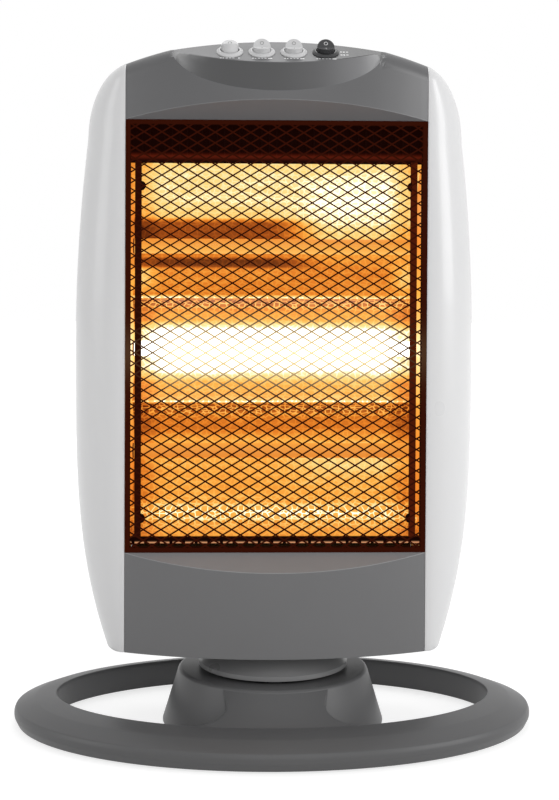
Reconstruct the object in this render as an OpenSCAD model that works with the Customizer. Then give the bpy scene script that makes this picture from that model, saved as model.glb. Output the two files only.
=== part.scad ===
// Free-standing halogen heater with an oscillating head.
// +Z is up, the front faces -Y, and the origin is the centre of the base on the surface it stands on.

/* [Head] */
// Widest distance across the two side panels
head_w = 290; // [276:1:310]
// Height of the head from its underside to the crown of the top
head_h = 434; // [425:1:460]
// Width of the grey centre section between the side panels
section_w = 213.6; // [205:1:225]
// Distance from the swivel axis forward to the seam of the side panels
seam_front = 42; // [38:1:48]
// Distance from the swivel axis back to the rear seam of the side panels
seam_rear = 46; // [42:1:54]
// How far the front mouldings crown forward of their own side edges
bulge = 22; // [16:1:26]
// Wall of the plastic mouldings
wall = 2.5; // [2:0.1:3]
// Radius of the arched top, seen from the front
crown_r = 348; // [300:1:360]
// Rounding between the front and the arched top
crown_round = 12; // [9:0.5:18]
// Shadow gap between neighbouring mouldings
seam_gap = 0.3; // [0.2:0.05:0.4]
// How far each side panel tucks in at its foot
foot_tuck = 23.3; // [16:0.5:26]
// Height over which the panel's shoulder rounds over
shoulder_h = 52; // [40:0.5:52]

/* [Window and grille] */
// Height of the lower front panel at its side edges
lower_h = 71; // [60:1:84]
// Height of the grille window
window_h = 306; // [290:1:320]
// Width of one diamond of the grille
mesh_w = 12.5; // [11:0.1:16]
// Height of one diamond of the grille
mesh_h = 7.6; // [7:0.1:10]
// Width of one strand
strand_w = 1; // [0.8:0.1:1.4]
// Thickness of one layer of strands
strand_t = 0.9; // [0.7:0.1:1.2]
// Depth of the folded frame behind the grille
frame_d = 7; // [5:0.5:9]
// Width of the rim of the grille frame
frame_rim = 3; // [2:0.5:4]

/* [Control deck] */
// Slope of the deck that carries the switches, from the horizontal
deck_tilt = 31; // [28:0.5:34]
// Drop from the crown to the front edge of the deck
deck_drop = 17.5; // [14:0.5:18]
// Distance from the foremost point of the front back to the deck's front edge
deck_set = 8; // [7:0.5:10]
// Steepness of the crescent under the deck, from the horizontal
crescent_tilt = 68; // [64:1:72]
// Half the width of the lens that the deck and the crescent make
lens_half = 74.5; // [70:0.5:80]
// Height from the lens's tips down to the crescent's lower edge
lens_drop = 30; // [26:0.5:33]
// Distance between neighbouring switches
switch_pitch = 22.5; // [20:0.1:26]
// Outer diameter of a switch bezel
bezel_d = 18.8; // [17:0.1:19.5]
// Diameter of a switch body below the deck
switch_d = 15.2; // [14.6:0.1:15.6]
// Diameter of a rocker
rocker_d = 12.2; // [11.6:0.1:12.4]
// Angle between a rocker's middle and either end of its travel
rocker_tilt = 12; // [9:0.5:13]

/* [Heating] */
// Diameter of a quartz tube
tube_d = 11; // [9:0.5:13]
// Height between neighbouring tubes
tube_pitch = 75; // [70:0.5:78]
// Height of the middle tube above the head's underside
tube_mid = 213; // [208:1:220]
// Length of a ceramic end cap
cap_l = 16; // [12:1:17]
// Distance from each seam to the reflector's end plate
heat_side = 3.3; // [3:0.1:6]
// Depth of each reflector trough
trough_d = 26; // [20:1:28]
// Thickness of the polished sheet
sheet = 0.8; // [0.6:0.1:1]

/* [Base] */
// Overall width of the oval base
base_w = 378; // [350:1:400]
// Overall depth of the oval base
base_d = 250; // [230:1:260]
// Width of the oval band, seen from above
band_w = 27; // [23:0.5:28]
// Height of the band at its inner edge
band_h = 23.5; // [21:0.5:25]
// Height of the pedestal
pedestal_h = 40.5; // [38:0.5:44]
// Radius of the pedestal at its top
pedestal_r = 69; // [66:0.5:70]
// Radius of the pedestal at its foot
pedestal_foot_r = 81; // [77:0.5:82]
// Half the width of the bridge between pedestal and band
bridge_half = 33; // [28:1:36]
// Height of the rubber feet that the base stands on
foot_h = 1.5; // [1:0.1:2.5]

/* [Swivel] */
// Radius of the turntable disc
disc_r = 54.6; // [54:0.1:56]
// Height of the turntable disc
disc_h = 18; // [15:0.1:19]
// Gap under the turntable disc
disc_gap = 2.2; // [1.6:0.1:3]
// Radius of the pivot post
post_r = 5; // [4.5:0.1:5.5]
// Radial running clearance on the post
run_fit = 0.05; // [0.02:0.01:0.09]
// Distance from the post to the motor shaft
crank_d = 27; // [26.5:0.1:27.5]
// Throw of the crank pin
crank_throw = 15.6; // [15:0.1:16]

/* [Hidden] */
$fn = 96;
big = 600;
section_x = section_w / 2;
head_z = pedestal_h + disc_gap + disc_h;
crown_z = head_z + head_h;
crown_cz = crown_z - crown_r;
bulge_r = (section_x * section_x + bulge * bulge) / (2 * bulge);
front_y = -(seam_front + bulge);
seam_top = crown_cz + sqrt(crown_r * crown_r - section_x * section_x);
window_z = head_z + lower_h;
window_top = window_z + window_h;
facet_low = 25;
facet_high = 30;

// Deck: its front edge and the local frame of the switches
deck_y = front_y + deck_set;
deck_z = crown_z - deck_drop;
deck_len = 34;
lens_tip_z = crown_cz + sqrt(crown_r * crown_r - lens_half * lens_half);
lens_back = (lens_tip_z - deck_z) / tan(deck_tilt);
crescent_in = lens_back * sin(crescent_tilt) - (lens_tip_z - deck_z) * cos(crescent_tilt);
crescent_r = (lens_half * lens_half + crescent_in * crescent_in) / (2 * crescent_in);
switch_n = 4;
bezel_h = 2;
switch_l = 15;
rocker_low = -2.5;
pivot_n = -0.5;
pin_r = 0.8;
bezel_bore = rocker_d + 1.4;

// Grille
frame_w = section_w - 2 * seam_gap;
mesh_y = -seam_front - 0.5;
frame_y = mesh_y + 2 * strand_t;
inner_y = frame_y + frame_d;

// Heating zone
tube_z = head_z + tube_mid;
heat_x = section_x - heat_side;
heat_z0 = window_z + 8;
heat_z1 = window_top - 28.5;
tube_y = 0;
trough_r = (tube_pitch * tube_pitch / 4 + trough_d * trough_d) / (2 * trough_d);
trough_lip_y = tube_y - 9;
trough_back_y = trough_lip_y + trough_d;
plate_t = 1.2;

// Base
oval_a = base_w / 2;
oval_b = base_d / 2;
base_wall = 2.6;

// Swivel
yoke_t = 3.5;
yoke_z = pedestal_h;
washer_t = 1.4;
hub_z = yoke_z + yoke_t + washer_t;
hub_r = post_r + 2.8;
arm_z = hub_z + 1.6;
arm_t = 3;
pan_t = 2.5;
hub_top = head_z + pan_t + 12;
post_top = hub_top + 6;
crank_pin_r = 2;
slot_play = 1;
slot_l = 20;
yoke_reach = 49.5;
yoke_screw_x = 16;
motor_z = head_z + wall + pan_t;
shaft_r = 2.5;
shaft_in = 8;
motor_r = 20;
motor_off = 10;
motor_h = 18;

// ---------- shared forms ----------

// Half the width of the side panels at height z
panel_mid = head_z + head_h / 2;
panel_zs = seam_top - shoulder_h;
panel_belly = 1240;
shoulder_w = panel_upper(panel_zs);
function panel_upper(z) = head_w / 2 - pow(z - panel_mid, 2) / (2 * panel_belly);
function panel_lower(z) = head_w / 2 - foot_tuck * pow((panel_mid - z) / (head_h / 2), 3.4);
function panel_shoulder(z) = shoulder_w
    - (shoulder_w - section_x) * (1 - sqrt(max(0, 1 - pow((z - panel_zs) / shoulder_h, 2))));
function panel_w(z) = z < panel_mid ? panel_lower(z) : z < panel_zs ? panel_upper(z) : panel_shoulder(z);

// How far the rounded front corner of the crown draws the seam back at height z
function seam_roll(z) = let (up = max(0, z - seam_top + crown_round))
    crown_round - sqrt(max(0, crown_round * crown_round - up * up));

// A point of the panel's skin: a runs from 0 at the front seam to 180 at the rear seam
function skin(z, a, t) = [
    section_x + seam_gap / 2 + max(t / wall, panel_w(z) - section_x - t) * sin(a),
    -(a < 90 ? seam_front - seam_roll(z) - t : seam_rear - t) * cos(a),
    head_z + (z - head_z) * (seam_top - head_z - t) / (seam_top - head_z)
];

// Everything above the line through (y, z) that rises by tilt degrees towards the rear
module above(y, z, tilt)
    translate([-big / 2, y, z]) rotate([tilt, 0, 0]) translate([0, -big, 0]) cube([big, 2 * big, big]);

// Plan outline of the crowned front, set in by t, back to depth y
module front_plan(t, y, half)
    intersection() {
        translate([0, front_y + bulge_r]) circle(bulge_r - t, $fn = 360);
        translate([-half, front_y - 1]) square([2 * half, y - front_y + 1]);
    }

// ---------- base ----------

// Cross-section of the band: x = 0 is the outer nose, negative towards the middle
band_section = let (w = band_w, h = band_h - foot_h, t = base_wall) [
    [-w, 0], [-w, h - 1.5], [-w + 1.5, h], [-w * 0.74, h - 0.5], [-w * 0.48, h * 0.86],
    [-w * 0.24, h * 0.69], [-w * 0.07, h * 0.5], [0, h * 0.32], [-w * 0.04, h * 0.13], [-w * 0.14, 0],
    [-w * 0.14 - t, 0], [-t, h * 0.3], [-w * 0.24 - t / 2, h * 0.66 - t],
    [-w * 0.5, h * 0.84 - t], [-w + t, h - t], [-w + t, 0]
];

// A point of the band: th runs round the oval, x is outwards from the nose
function band_at(th, x) = let (n = [oval_b * cos(th), oval_a * sin(th)])
    [oval_a * cos(th), oval_b * sin(th)] + n * x / norm(n);

// The oval band as one swept ring, open underneath
module oval_band() {
    n = 64;
    m = len(band_section);
    pts = [for (i = [0:n - 1]) for (p = band_section) let (q = band_at(360 * i / n, p[0]))
        [q[0], q[1], p[1] + foot_h]];
    quads = [for (i = [0:n - 1]) for (j = [0:m - 1]) let (i2 = (i + 1) % n, j2 = (j + 1) % m)
        [i * m + j, i2 * m + j, i2 * m + j2, i * m + j2]];
    polyhedron(pts, [for (q = quads) for (f = [[q[0], q[1], q[2]], [q[0], q[2], q[3]]]) f], 4);
}

// Pedestal wall, cap and post boss as one revolve
module pedestal() {
    slope = (pedestal_foot_r - pedestal_r) / (pedestal_h - foot_h);
    t = base_wall;
    rotate_extrude() polygon([
        [pedestal_foot_r, foot_h], [pedestal_r + 1.5 * slope, pedestal_h - 1.5],
        [pedestal_r - 1.5, pedestal_h], [post_r, pedestal_h], [post_r, 14], [post_r + 5, 14],
        [post_r + 5, pedestal_h - t], [pedestal_r - t - 1.5, pedestal_h - t],
        [pedestal_r - t + 0.5, pedestal_h - t - 2], [pedestal_foot_r - t, foot_h]
    ]);
}

bridge_in = oval_b - band_w;
pocket_r = (bridge_in - 3 - (pedestal_foot_r - 12)) / 2;
pocket_y = -(bridge_in - 3 - pocket_r);
pocket_x = bridge_half + pocket_r;

// One bridge: a waisted plan under a slope from the pedestal's top to the band
module bridge_solid(t) {
    intersection() {
        translate([0, 0, foot_h - (t > 0 ? 1 : 0)]) linear_extrude(pedestal_h) difference() {
            translate([-pocket_x + t, -bridge_in - 4 + 0]) square([2 * (pocket_x - t), bridge_in - 48]);
            for (s = [-1, 1]) translate([s * pocket_x, pocket_y]) circle(pocket_r + t);
        }
        rotate([90, 0, 90]) translate([0, 0, -pocket_x]) linear_extrude(2 * pocket_x) polygon([
            [-50, -1], [-50, pedestal_h - t], [-pedestal_r + 1.5, pedestal_h - t],
            [-pedestal_r - 8, pedestal_h - 3.6 - t], [-bridge_in + 2, band_h + 1.2 - t],
            [-bridge_in - 4, band_h - 0.4 - t], [-bridge_in - 4, -1]
        ]);
    }
}

// Web across the channel of the band at angle a
foot_seat = 2.5;
foot_r = 7;
foot_pin_r = 1.5;
foot_pin_l = 7;
rib_h = 9;
module band_rib(a) {
    p = band_at(a, -base_wall * 1.6);
    translate([p[0], p[1], foot_h + foot_seat]) rotate([0, 0, atan2(oval_a * sin(a), oval_b * cos(a))])
        translate([-band_w + base_wall * 2, -1, 0]) cube([band_w - base_wall * 2, 2, rib_h]);
}

foot_angles = [42, 138, 222, 318];
function foot_at(a) = band_at(a, -band_w / 2 - 1);
cover_screw_r = 43;
cover_screw_l = 12;
cover_screw_d = 2.5;
cover_t = 2;
cover_side = 4;
cover_half_d = 49;

module base() {
    color([0.36, 0.36, 0.37]) difference() {
        union() {
            oval_band();
            difference() {
                union() {
                    pedestal();
                    for (s = [0, 180]) rotate([0, 0, s]) difference() {
                        bridge_solid(0);
                        bridge_solid(base_wall);
                        cylinder(r = pedestal_r - 4, h = pedestal_h - base_wall);
                    }
                }
                for (s = [0, 180]) rotate([0, 0, s])
                    intersection() {
                        bridge_solid(base_wall);
                        translate([-bridge_half + 2, -100, -1]) cube([2 * bridge_half - 4, 200, 22]);
                    }
            }
            for (i = [0:2]) rotate([0, 0, 90 + 120 * i]) translate([cover_screw_r, 0, foot_h + 2 * cover_t])
                cylinder(d = 3.6 * cover_screw_d, h = pedestal_h - foot_h - 2 * cover_t - 1);
            for (a = foot_angles) {
                translate([foot_at(a)[0], foot_at(a)[1], foot_h + foot_seat]) cylinder(r = 6, h = rib_h);
                band_rib(a);
            }
        }
        for (i = [0:2]) rotate([0, 0, 90 + 120 * i]) translate([cover_screw_r, 0, 0])
            cylinder(d = cover_screw_d, h = foot_h + cover_screw_l + 4);
        for (a = foot_angles) translate([foot_at(a)[0], foot_at(a)[1], 0]) cylinder(r = foot_pin_r, h = foot_h + foot_pin_l + 1);
        for (s = [-1, 1]) translate([s * yoke_screw_x, 0, pedestal_h - 12]) cylinder(r = 1.25, h = 13);
    }
}

module base_cover() {
    color([0.25, 0.25, 0.26]) difference() {
        intersection() {
            translate([0, 0, foot_h + cover_t])
                cylinder(r = pedestal_foot_r - base_wall - cover_side, h = cover_t);
            translate([-pedestal_foot_r, -cover_half_d, 0])
                cube([2 * pedestal_foot_r, 2 * cover_half_d, foot_h + 3 * cover_t]);
        }
        for (i = [0:2]) rotate([0, 0, 90 + 120 * i]) translate([cover_screw_r, 0, 0])
            cylinder(r = 1.6, h = 20);
        for (x = [-30:10:30]) translate([x - 1.5, -18, 0]) cube([3, 36, 20]);
    }
}

module base_feet() {
    color([0.12, 0.12, 0.12]) for (a = foot_angles) translate([foot_at(a)[0], foot_at(a)[1], 0]) {
        cylinder(r = foot_r, h = foot_h + foot_seat);
        translate([0, 0, foot_h]) cylinder(r = foot_pin_r - run_fit, h = foot_pin_l);
    }
}

module base_screws() {
    color("silver") for (i = [0:2]) rotate([0, 0, 90 + 120 * i]) translate([cover_screw_r, 0, foot_h]) {
        cylinder(d = 2.4 * cover_screw_d, h = cover_t);
        cylinder(d = cover_screw_d, h = cover_screw_l);
    }
}

// ---------- swivel ----------

module pivot_post() {
    color("silver") difference() {
        translate([0, 0, 14]) cylinder(r = post_r, h = post_top - 14);
        translate([0, 0, hub_top + 0.3]) difference() {
            cylinder(r = post_r + 1, h = 1.2);
            cylinder(r = post_r - 0.8, h = 1.2);
        }
    }
}

module post_circlip() {
    color("dimgray") translate([0, 0, hub_top + 0.4]) difference() {
        cylinder(r = post_r + 2.2, h = 1);
        cylinder(r = post_r - 0.8, h = 1);
        translate([0, -1.5, -1]) cube([20, 3, 4]);
    }
}

module thrust_washer() {
    color([0.85, 0.83, 0.75]) translate([0, 0, yoke_z + yoke_t]) difference() {
        cylinder(r = hub_r + 0.5, h = washer_t - 0.1);
        cylinder(r = post_r + run_fit, h = washer_t);
    }
}

module swing_yoke() {
    color("silver") translate([0, 0, yoke_z]) difference() {
        union() {
            for (s = [-1, 1]) translate([s * yoke_screw_x, 0]) cylinder(r = 6, h = yoke_t);
            translate([-yoke_screw_x, -6, 0]) cube([2 * yoke_screw_x, 12, yoke_t]);
            cylinder(r = 10, h = yoke_t);
            translate([-6, -yoke_reach, 0]) cube([12, yoke_reach, yoke_t]);
        }
        cylinder(r = post_r, h = yoke_t);
        for (s = [-1, 1]) translate([s * yoke_screw_x, 0]) cylinder(r = 1.6, h = yoke_t);
        translate([-crank_pin_r - slot_play, -yoke_reach + 3.5, -1])
            cube([2 * (crank_pin_r + slot_play), slot_l, yoke_t + 2]);
    }
}

module yoke_screws() {
    color("silver") for (s = [-1, 1]) translate([s * yoke_screw_x, 0, 0]) {
        translate([0, 0, yoke_z + yoke_t]) cylinder(r = 2.8, h = 1.4);
        translate([0, 0, pedestal_h - 9]) cylinder(r = 1.25, h = 9 + yoke_t);
    }
}

module turntable_disc() {
    z0 = pedestal_h + disc_gap;
    rim = 3.8;
    r1 = disc_r - (disc_h - rim) * 0.93;
    t = 2.2;
    color([0.42, 0.42, 0.43]) difference() {
        rotate_extrude() polygon([
            [disc_r, z0], [disc_r, z0 + rim - 0.6], [disc_r - 0.6, z0 + rim], [r1, head_z],
            [r1 - t - 2, head_z], [r1 - t - 2, head_z - t], [r1 - t, head_z - t],
            [disc_r - t - 1, z0 + rim - t * 0.4], [disc_r - t - 0.4, z0]
        ]);
    }
}

module crank_arm() {
    color([0.85, 0.83, 0.75]) translate([0, -crank_d, 0]) {
        translate([0, 0, arm_z]) cylinder(r = 4, h = head_z - arm_z - 1);
        translate([-3, -crank_throw, arm_z]) cube([6, crank_throw, arm_t]);
        translate([0, -crank_throw, arm_z]) cylinder(r = 3, h = arm_t);
        translate([0, -crank_throw, yoke_z + 0.8]) cylinder(r = crank_pin_r, h = arm_z - yoke_z - 0.8);
        translate([0, 0, head_z - 1]) cylinder(r = shaft_r, h = motor_z + shaft_in - 0.3 - head_z + 1);
    }
}

module swing_motor() {
    color([0.7, 0.7, 0.68]) translate([0, -crank_d - motor_off, motor_z]) difference() {
        union() {
            cylinder(r = motor_r, h = motor_h);
            for (s = [-1, 1]) translate([s * (motor_r + 3), 0]) cylinder(r = 4, h = 1.5);
            translate([-motor_r - 3, -4, 0]) cube([2 * motor_r + 6, 8, 1.5]);
            translate([-7, motor_r - 4, 4]) cube([14, 6, 10]);
        }
        translate([0, motor_off, -1]) cylinder(r = shaft_r + run_fit, h = shaft_in + 1);
        for (s = [-1, 1]) translate([s * (motor_r + 3), 0, -1]) cylinder(r = 1.6, h = 4);
    }
}

module motor_screws() {
    color("silver") for (s = [-1, 1])
        translate([s * (motor_r + 3), -crank_d - motor_off, motor_z]) {
            translate([0, 0, 1.5]) cylinder(r = 2.8, h = 1.6);
            translate([0, 0, -pan_t + 0.4]) cylinder(r = 1.25, h = pan_t + 1.6);
        }
}

// ---------- head shell ----------

panel_rows = 20;
panel_cols = 12;

module side_panel() {
    n = panel_rows;
    k = panel_cols;
    zs = [for (i = [0:n]) i <= 8 ? head_z + (panel_zs - head_z) * i / 8
        : panel_zs + shoulder_h * sin(90 * (i - 8) / (n - 8))];
    pts = [for (t = [0, wall]) for (i = [0:n]) for (j = [0:k]) skin(zs[i], 180 * j / k, t)];
    m = k + 1;
    inn = (n + 1) * m;
    quads = concat(
        [for (i = [0:n - 1]) for (j = [0:k - 1]) let (p = i * m + j) [p, p + m, p + m + 1, p + 1]],
        [for (i = [0:n - 1]) for (j = [0:k - 1]) let (p = inn + i * m + j) [p, p + 1, p + m + 1, p + m]],
        [for (j = [0:k - 1]) [j, j + 1, inn + j + 1, inn + j]],
        [for (j = [0:k - 1]) let (p = n * m + j) [p, inn + p, inn + p + 1, p + 1]],
        [for (i = [0:n - 1]) let (p = i * m) [p + m, p, inn + p, inn + p + m]],
        [for (i = [0:n - 1]) let (p = i * m + k) [p, p + m, inn + p + m, inn + p]]
    );
    polyhedron(pts, [for (q = quads) for (f = [[q[0], q[2], q[1]], [q[0], q[3], q[2]]]) f], 4);
}

module side_panel_right() color([0.88, 0.88, 0.88]) side_panel();
module side_panel_left() color([0.84, 0.84, 0.84]) mirror([1, 0, 0]) side_panel();

function crown_at(x, t) = crown_cz + sqrt(pow(crown_r - t, 2) - x * x);
function front_at(x, t) = front_y + bulge_r - sqrt(pow(bulge_r - t, 2) - x * x);
function roll_y(x, z) = let (up = max(0, z - crown_at(x, 0) + crown_round))
    front_at(x, 0) + crown_round - sqrt(crown_round * crown_round - up * up);

// Up the front to the crescent's lower edge, across the crescent and up the deck to the crown
function lens_line(x) = let (
    low = lens_tip_z - lens_drop * sqrt(1 - pow(x / lens_half, 2)),
    edge_y = deck_y + lens_back * pow(x / lens_half, 2),
    foot = [roll_y(x, low), low],
    edge = [edge_y, deck_z + (edge_y - deck_y) * tan(deck_tilt)],
    top = crown_at(x, 0),
    back = [deck_y + (top - deck_z) / tan(deck_tilt), top]
) concat([for (i = [0:4]) let (z = low - crown_round * (1 - i / 4)) [roll_y(x, z), z]],
    [for (i = [1:3]) foot + (edge - foot) * i / 3], [for (i = [1:5]) edge + (back - edge) * i / 5]);

// Outline of the top moulding at x, from the rear foot round the front and over the crown, set in by t
function fascia_line(x, t) = let (
    front = front_at(x, t),
    top = crown_at(x, t),
    rear = seam_rear - wall + (t > 0 ? 1 : -seam_gap),
    r = crown_round - t
) concat([[rear, window_top + t], [front, window_top + t]],
    t == 0 && abs(x) < lens_half ? lens_line(x)
        : [for (a = [0:7.5:90]) [front + r * (1 - cos(a)), top - r * (1 - sin(a))]], [[rear, top]]);

// The crowned front rounded over into the arched top, with the lens for the switches
module fascia_form(t) {
    half = section_x - seam_gap / 2 - t;
    side = half - lens_half - 1;
    xs = concat([for (i = [0:6]) -half + side * i / 6],
        [for (i = [0:28]) (lens_half - 1.5) * sin(180 * i / 28 - 90)], [for (i = [6:-1:0]) half - side * i / 6]);
    n = len(xs) - 1;
    m = len(fascia_line(0, t));
    pts = [for (x = xs) for (q = fascia_line(x, t)) [x, q[0], q[1]]];
    quads = [for (i = [0:n - 1]) for (j = [0:m - 1]) let (j2 = (j + 1) % m)
        [i * m + j, (i + 1) * m + j, (i + 1) * m + j2, i * m + j2]];
    polyhedron(pts, concat([[for (j = [m - 1:-1:0]) j]], [[for (j = [0:m - 1]) n * m + j]],
        [for (q = quads) for (f = [[q[0], q[2], q[1]], [q[0], q[3], q[2]]]) f]), 4);
}

// What the hollow leaves of the wall under the deck and behind the crescent
module lens_wall(t) {
    above(deck_y, deck_z - t / cos(deck_tilt), deck_tilt);
    difference() {
        translate([-lens_half - t, -big, window_top]) cube([2 * (lens_half + t), big, big]);
        translate([0, deck_y, deck_z]) rotate([crescent_tilt - 90, 0, 0])
            translate([0, crescent_r + t, -big]) cylinder(r = crescent_r, h = 2 * big, $fn = 360);
    }
}

// Below the window's top edge: a facet that rises towards the front
module fascia_under(t)
    translate([-big / 2, -seam_front, window_top + t]) rotate([-facet_high, 0, 0])
        translate([0, -big, -big]) cube([big, 2 * big, big]);

module top_fascia() {
    color([0.42, 0.42, 0.43]) difference() {
        fascia_form(0);
        intersection() {
            fascia_under(0);
            translate([-big / 2, -big, 0]) cube([big, big - seam_front, big]);
        }
        difference() {
            fascia_form(wall);
            lens_wall(wall);
            intersection() {
                fascia_under(wall);
                translate([-big / 2, -big, 0]) cube([big, big - seam_front + wall, big]);
            }
        }
        translate([-section_x + 12, -seam_front + 10, window_top - 1])
            cube([section_w - 24, seam_front + seam_rear, wall + 2]);
        for (i = [0:switch_n - 1]) on_deck(i) cylinder(d = switch_d + 0.2, h = 30, center = true);
    }
    color([0.42, 0.42, 0.43]) for (s = [0, 1]) mirror([s, 0, 0]) difference() {
        translate([section_x - 15, seam_rear - wall - seam_gap - 10, seam_top - 22])
            cube([15 - seam_gap / 2, 10, 12]);
        rear_screw_bores();
    }
}

flange_d = 6;
module lower_form(t) {
    half = section_x - seam_gap / 2 - t;
    translate([0, 0, head_z + t]) linear_extrude(lower_h - 2 * t)
        front_plan(t, -seam_front + flange_d + (t > 0 ? 1 : 0), half);
}

module lower_facet(t)
    translate([-big / 2, -seam_front, window_z - t]) rotate([facet_low, 0, 0])
        translate([0, -big, 0]) cube([big, big, big]);

module lower_front_panel() {
    color([0.40, 0.40, 0.41]) difference() {
        lower_form(0);
        lower_facet(0);
        difference() {
            lower_form(wall);
            lower_facet(wall);
        }
    }
}

module floor_pan() {
    half = section_x - seam_gap / 2 - wall - seam_gap;
    rear = seam_rear - wall - seam_gap;
    front = -seam_front + flange_d + seam_gap;
    color([0.30, 0.30, 0.31]) difference() {
        union() {
            translate([-section_x + seam_gap / 2, front, head_z])
                cube([section_w - seam_gap, rear - front, pan_t]);
            translate([0, 0, head_z + wall]) linear_extrude(pan_t) front_plan(wall + seam_gap, -5, half);
            for (s = [0, 1]) mirror([s, 0, 0]) {
                translate([section_x - 1, front, head_z]) cube([2, rear - front, pan_t]);
                translate([0, 0, head_z]) linear_extrude(pan_t)
                    polygon([for (j = [0:panel_cols])
                        let (p = skin(head_z, 180 * j / panel_cols, wall + 0.02)) [p[0], min(p[1], rear)]]);
            }
            for (s = [-1, 1]) translate([s * (section_x - 10) - 5, rear - 10, head_z]) cube([10, 10, 20]);
            translate([0, 0, hub_z]) cylinder(r = hub_r, h = hub_top - hub_z);
        }
        translate([0, 0, hub_z - 1]) cylinder(r = post_r + run_fit, h = hub_top - hub_z + 2);
        translate([0, -crank_d, head_z - 1]) cylinder(r = 4.6, h = 8);
        for (s = [-1, 1]) translate([s * (motor_r + 3), -crank_d - motor_off, head_z - 1])
            cylinder(r = 1.25, h = 8);
        rear_screw_bores();
    }
}

slot_rows = 16;
slot_pitch = 11;
slot_w = 70;
module rear_cover() {
    half = section_x - seam_gap / 2;
    color([0.30, 0.30, 0.31]) translate([0, seam_rear, 0]) rotate([90, 0, 0])
        linear_extrude(wall) difference() {
            intersection() {
                translate([-half, head_z]) square([section_w - seam_gap, head_h]);
                translate([0, crown_cz]) circle(crown_r, $fn = 360);
            }
            for (s = [-1, 1]) for (i = [0:slot_rows - 1])
                translate([s * (slot_w / 2 + 8) - slot_w / 2, tube_z + (i - slot_rows / 2) * slot_pitch])
                    square([slot_w, 4]);
            for (p = rear_screw_at) translate(p) circle(1.7);
            translate([gland_x, gland_z]) circle(7);
        }
}

gland_x = 60;
gland_z = head_z + 22;
bracket_x = 88;
rear_screw_at = [for (s = [-1, 1]) for (q = [[section_x - 10, head_z + 13], [bracket_x, tube_z],
    [section_x - 10, seam_top - 16]]) [s * q[0], q[1]]];
screw_l = 9;

module rear_screw_bores()
    for (p = rear_screw_at) translate([p[0], seam_rear - wall - screw_l, p[1]]) rotate([-90, 0, 0])
        cylinder(r = 1.6, h = screw_l);

module rear_screws() {
    color("silver") for (p = rear_screw_at) translate([p[0], 0, p[1]]) rotate([-90, 0, 0]) {
        translate([0, 0, seam_rear]) cylinder(r = 3.2, h = 1.8);
        translate([0, 0, seam_rear - screw_l]) cylinder(r = 1.6, h = screw_l + 0.5);
    }
}

module cord_gland() {
    color([0.10, 0.10, 0.10]) translate([gland_x, seam_rear - wall, gland_z]) rotate([-90, 0, 0])
    difference() {
        union() {
            translate([0, 0, -0.5]) cylinder(r = 6.9, h = wall + 0.5);
            translate([0, 0, wall]) cylinder(r = 9, h = 2);
            translate([0, 0, wall]) cylinder(r1 = 6, r2 = 4.6, h = 12);
            translate([0, 0, -3]) cylinder(r = 8.5, h = 3);
        }
        translate([0, 0, -6]) cylinder(r = 3.3, h = 30);
    }
}

// ---------- grille ----------

function clip(poly, ax, lim, s) = [for (i = [0:len(poly) - 1])
    let (a = poly[i], b = poly[(i + 1) % len(poly)], da = s * (lim - a[ax]), db = s * (lim - b[ax]))
        for (p = concat(da >= 0 ? [a] : [], da * db < 0 ? [a + (b - a) * da / (da - db)] : [])) p];
function clip_all(poly, x, z0, z1) =
    let (a = clip(poly, 0, x, 1), b = len(a) > 0 ? clip(a, 0, -x, -1) : [],
        c = len(b) > 0 ? clip(b, 1, z1, 1) : []) len(c) > 0 ? clip(c, 1, z0, -1) : [];
function area(p) = len(p) < 3 ? 0
    : abs([for (i = [0:len(p) - 1]) let (a = p[i], b = p[(i + 1) % len(p)]) a[0] * b[1] - b[0] * a[1]]
        * [for (i = p) 1]) / 2;

// One layer: a plate cut by the slanted gaps between its strands
module strand_layer(y) {
    slope = mesh_h / mesh_w;
    x = frame_w / 2 - frame_rim;
    z0 = window_z + frame_rim;
    z1 = window_top - frame_rim;
    zc = (z0 + z1) / 2;
    gap = mesh_h - strand_w * sqrt(1 + slope * slope);
    n = ceil((x * slope + (z1 - z0) / 2) / mesh_h) + 1;
    gaps = [for (i = [-n:n]) let (zm = zc + i * mesh_h, q = clip_all([
        [-x - 1, zm - gap / 2 - (x + 1) * slope], [x + 1, zm - gap / 2 + (x + 1) * slope],
        [x + 1, zm + gap / 2 + (x + 1) * slope], [-x - 1, zm + gap / 2 - (x + 1) * slope]], x, z0, z1))
            if (area(q) > 8) q];
    w = frame_w / 2;
    outer = [[-w, window_z], [w, window_z], [w, window_top], [-w, window_top]];
    loops = concat([outer], gaps);
    starts = [for (i = 0, s = 0; i < len(loops); s = s + len(loops[i]), i = i + 1) s];
    translate([0, y + strand_t, 0]) rotate([90, 0, 0]) linear_extrude(strand_t)
        polygon([for (l = loops) for (p = l) p],
            [for (i = [0:len(loops) - 1]) [for (j = [0:len(loops[i]) - 1]) starts[i] + j]]);
}

module grille_rising_strands() color([0.13, 0.09, 0.07]) strand_layer(mesh_y);
module grille_falling_strands()
    color([0.13, 0.09, 0.07]) mirror([1, 0, 0]) strand_layer(mesh_y + strand_t);

// Folded sheet frame: a rim behind the mesh and walls that run back from it
module grille_frame() {
    w = frame_w / 2;
    color([0.08, 0.06, 0.05]) difference() {
        translate([-w, frame_y, window_z]) cube([2 * w, frame_d, window_h]);
        translate([-w + frame_rim, frame_y - 1, window_z + frame_rim])
            cube([2 * (w - frame_rim), frame_d + 2, window_h - 2 * frame_rim]);
        translate([-w + sheet, frame_y + sheet, window_z + sheet])
            cube([2 * (w - sheet), frame_d - sheet * 2, window_h - 2 * sheet]);
    }
}

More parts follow.
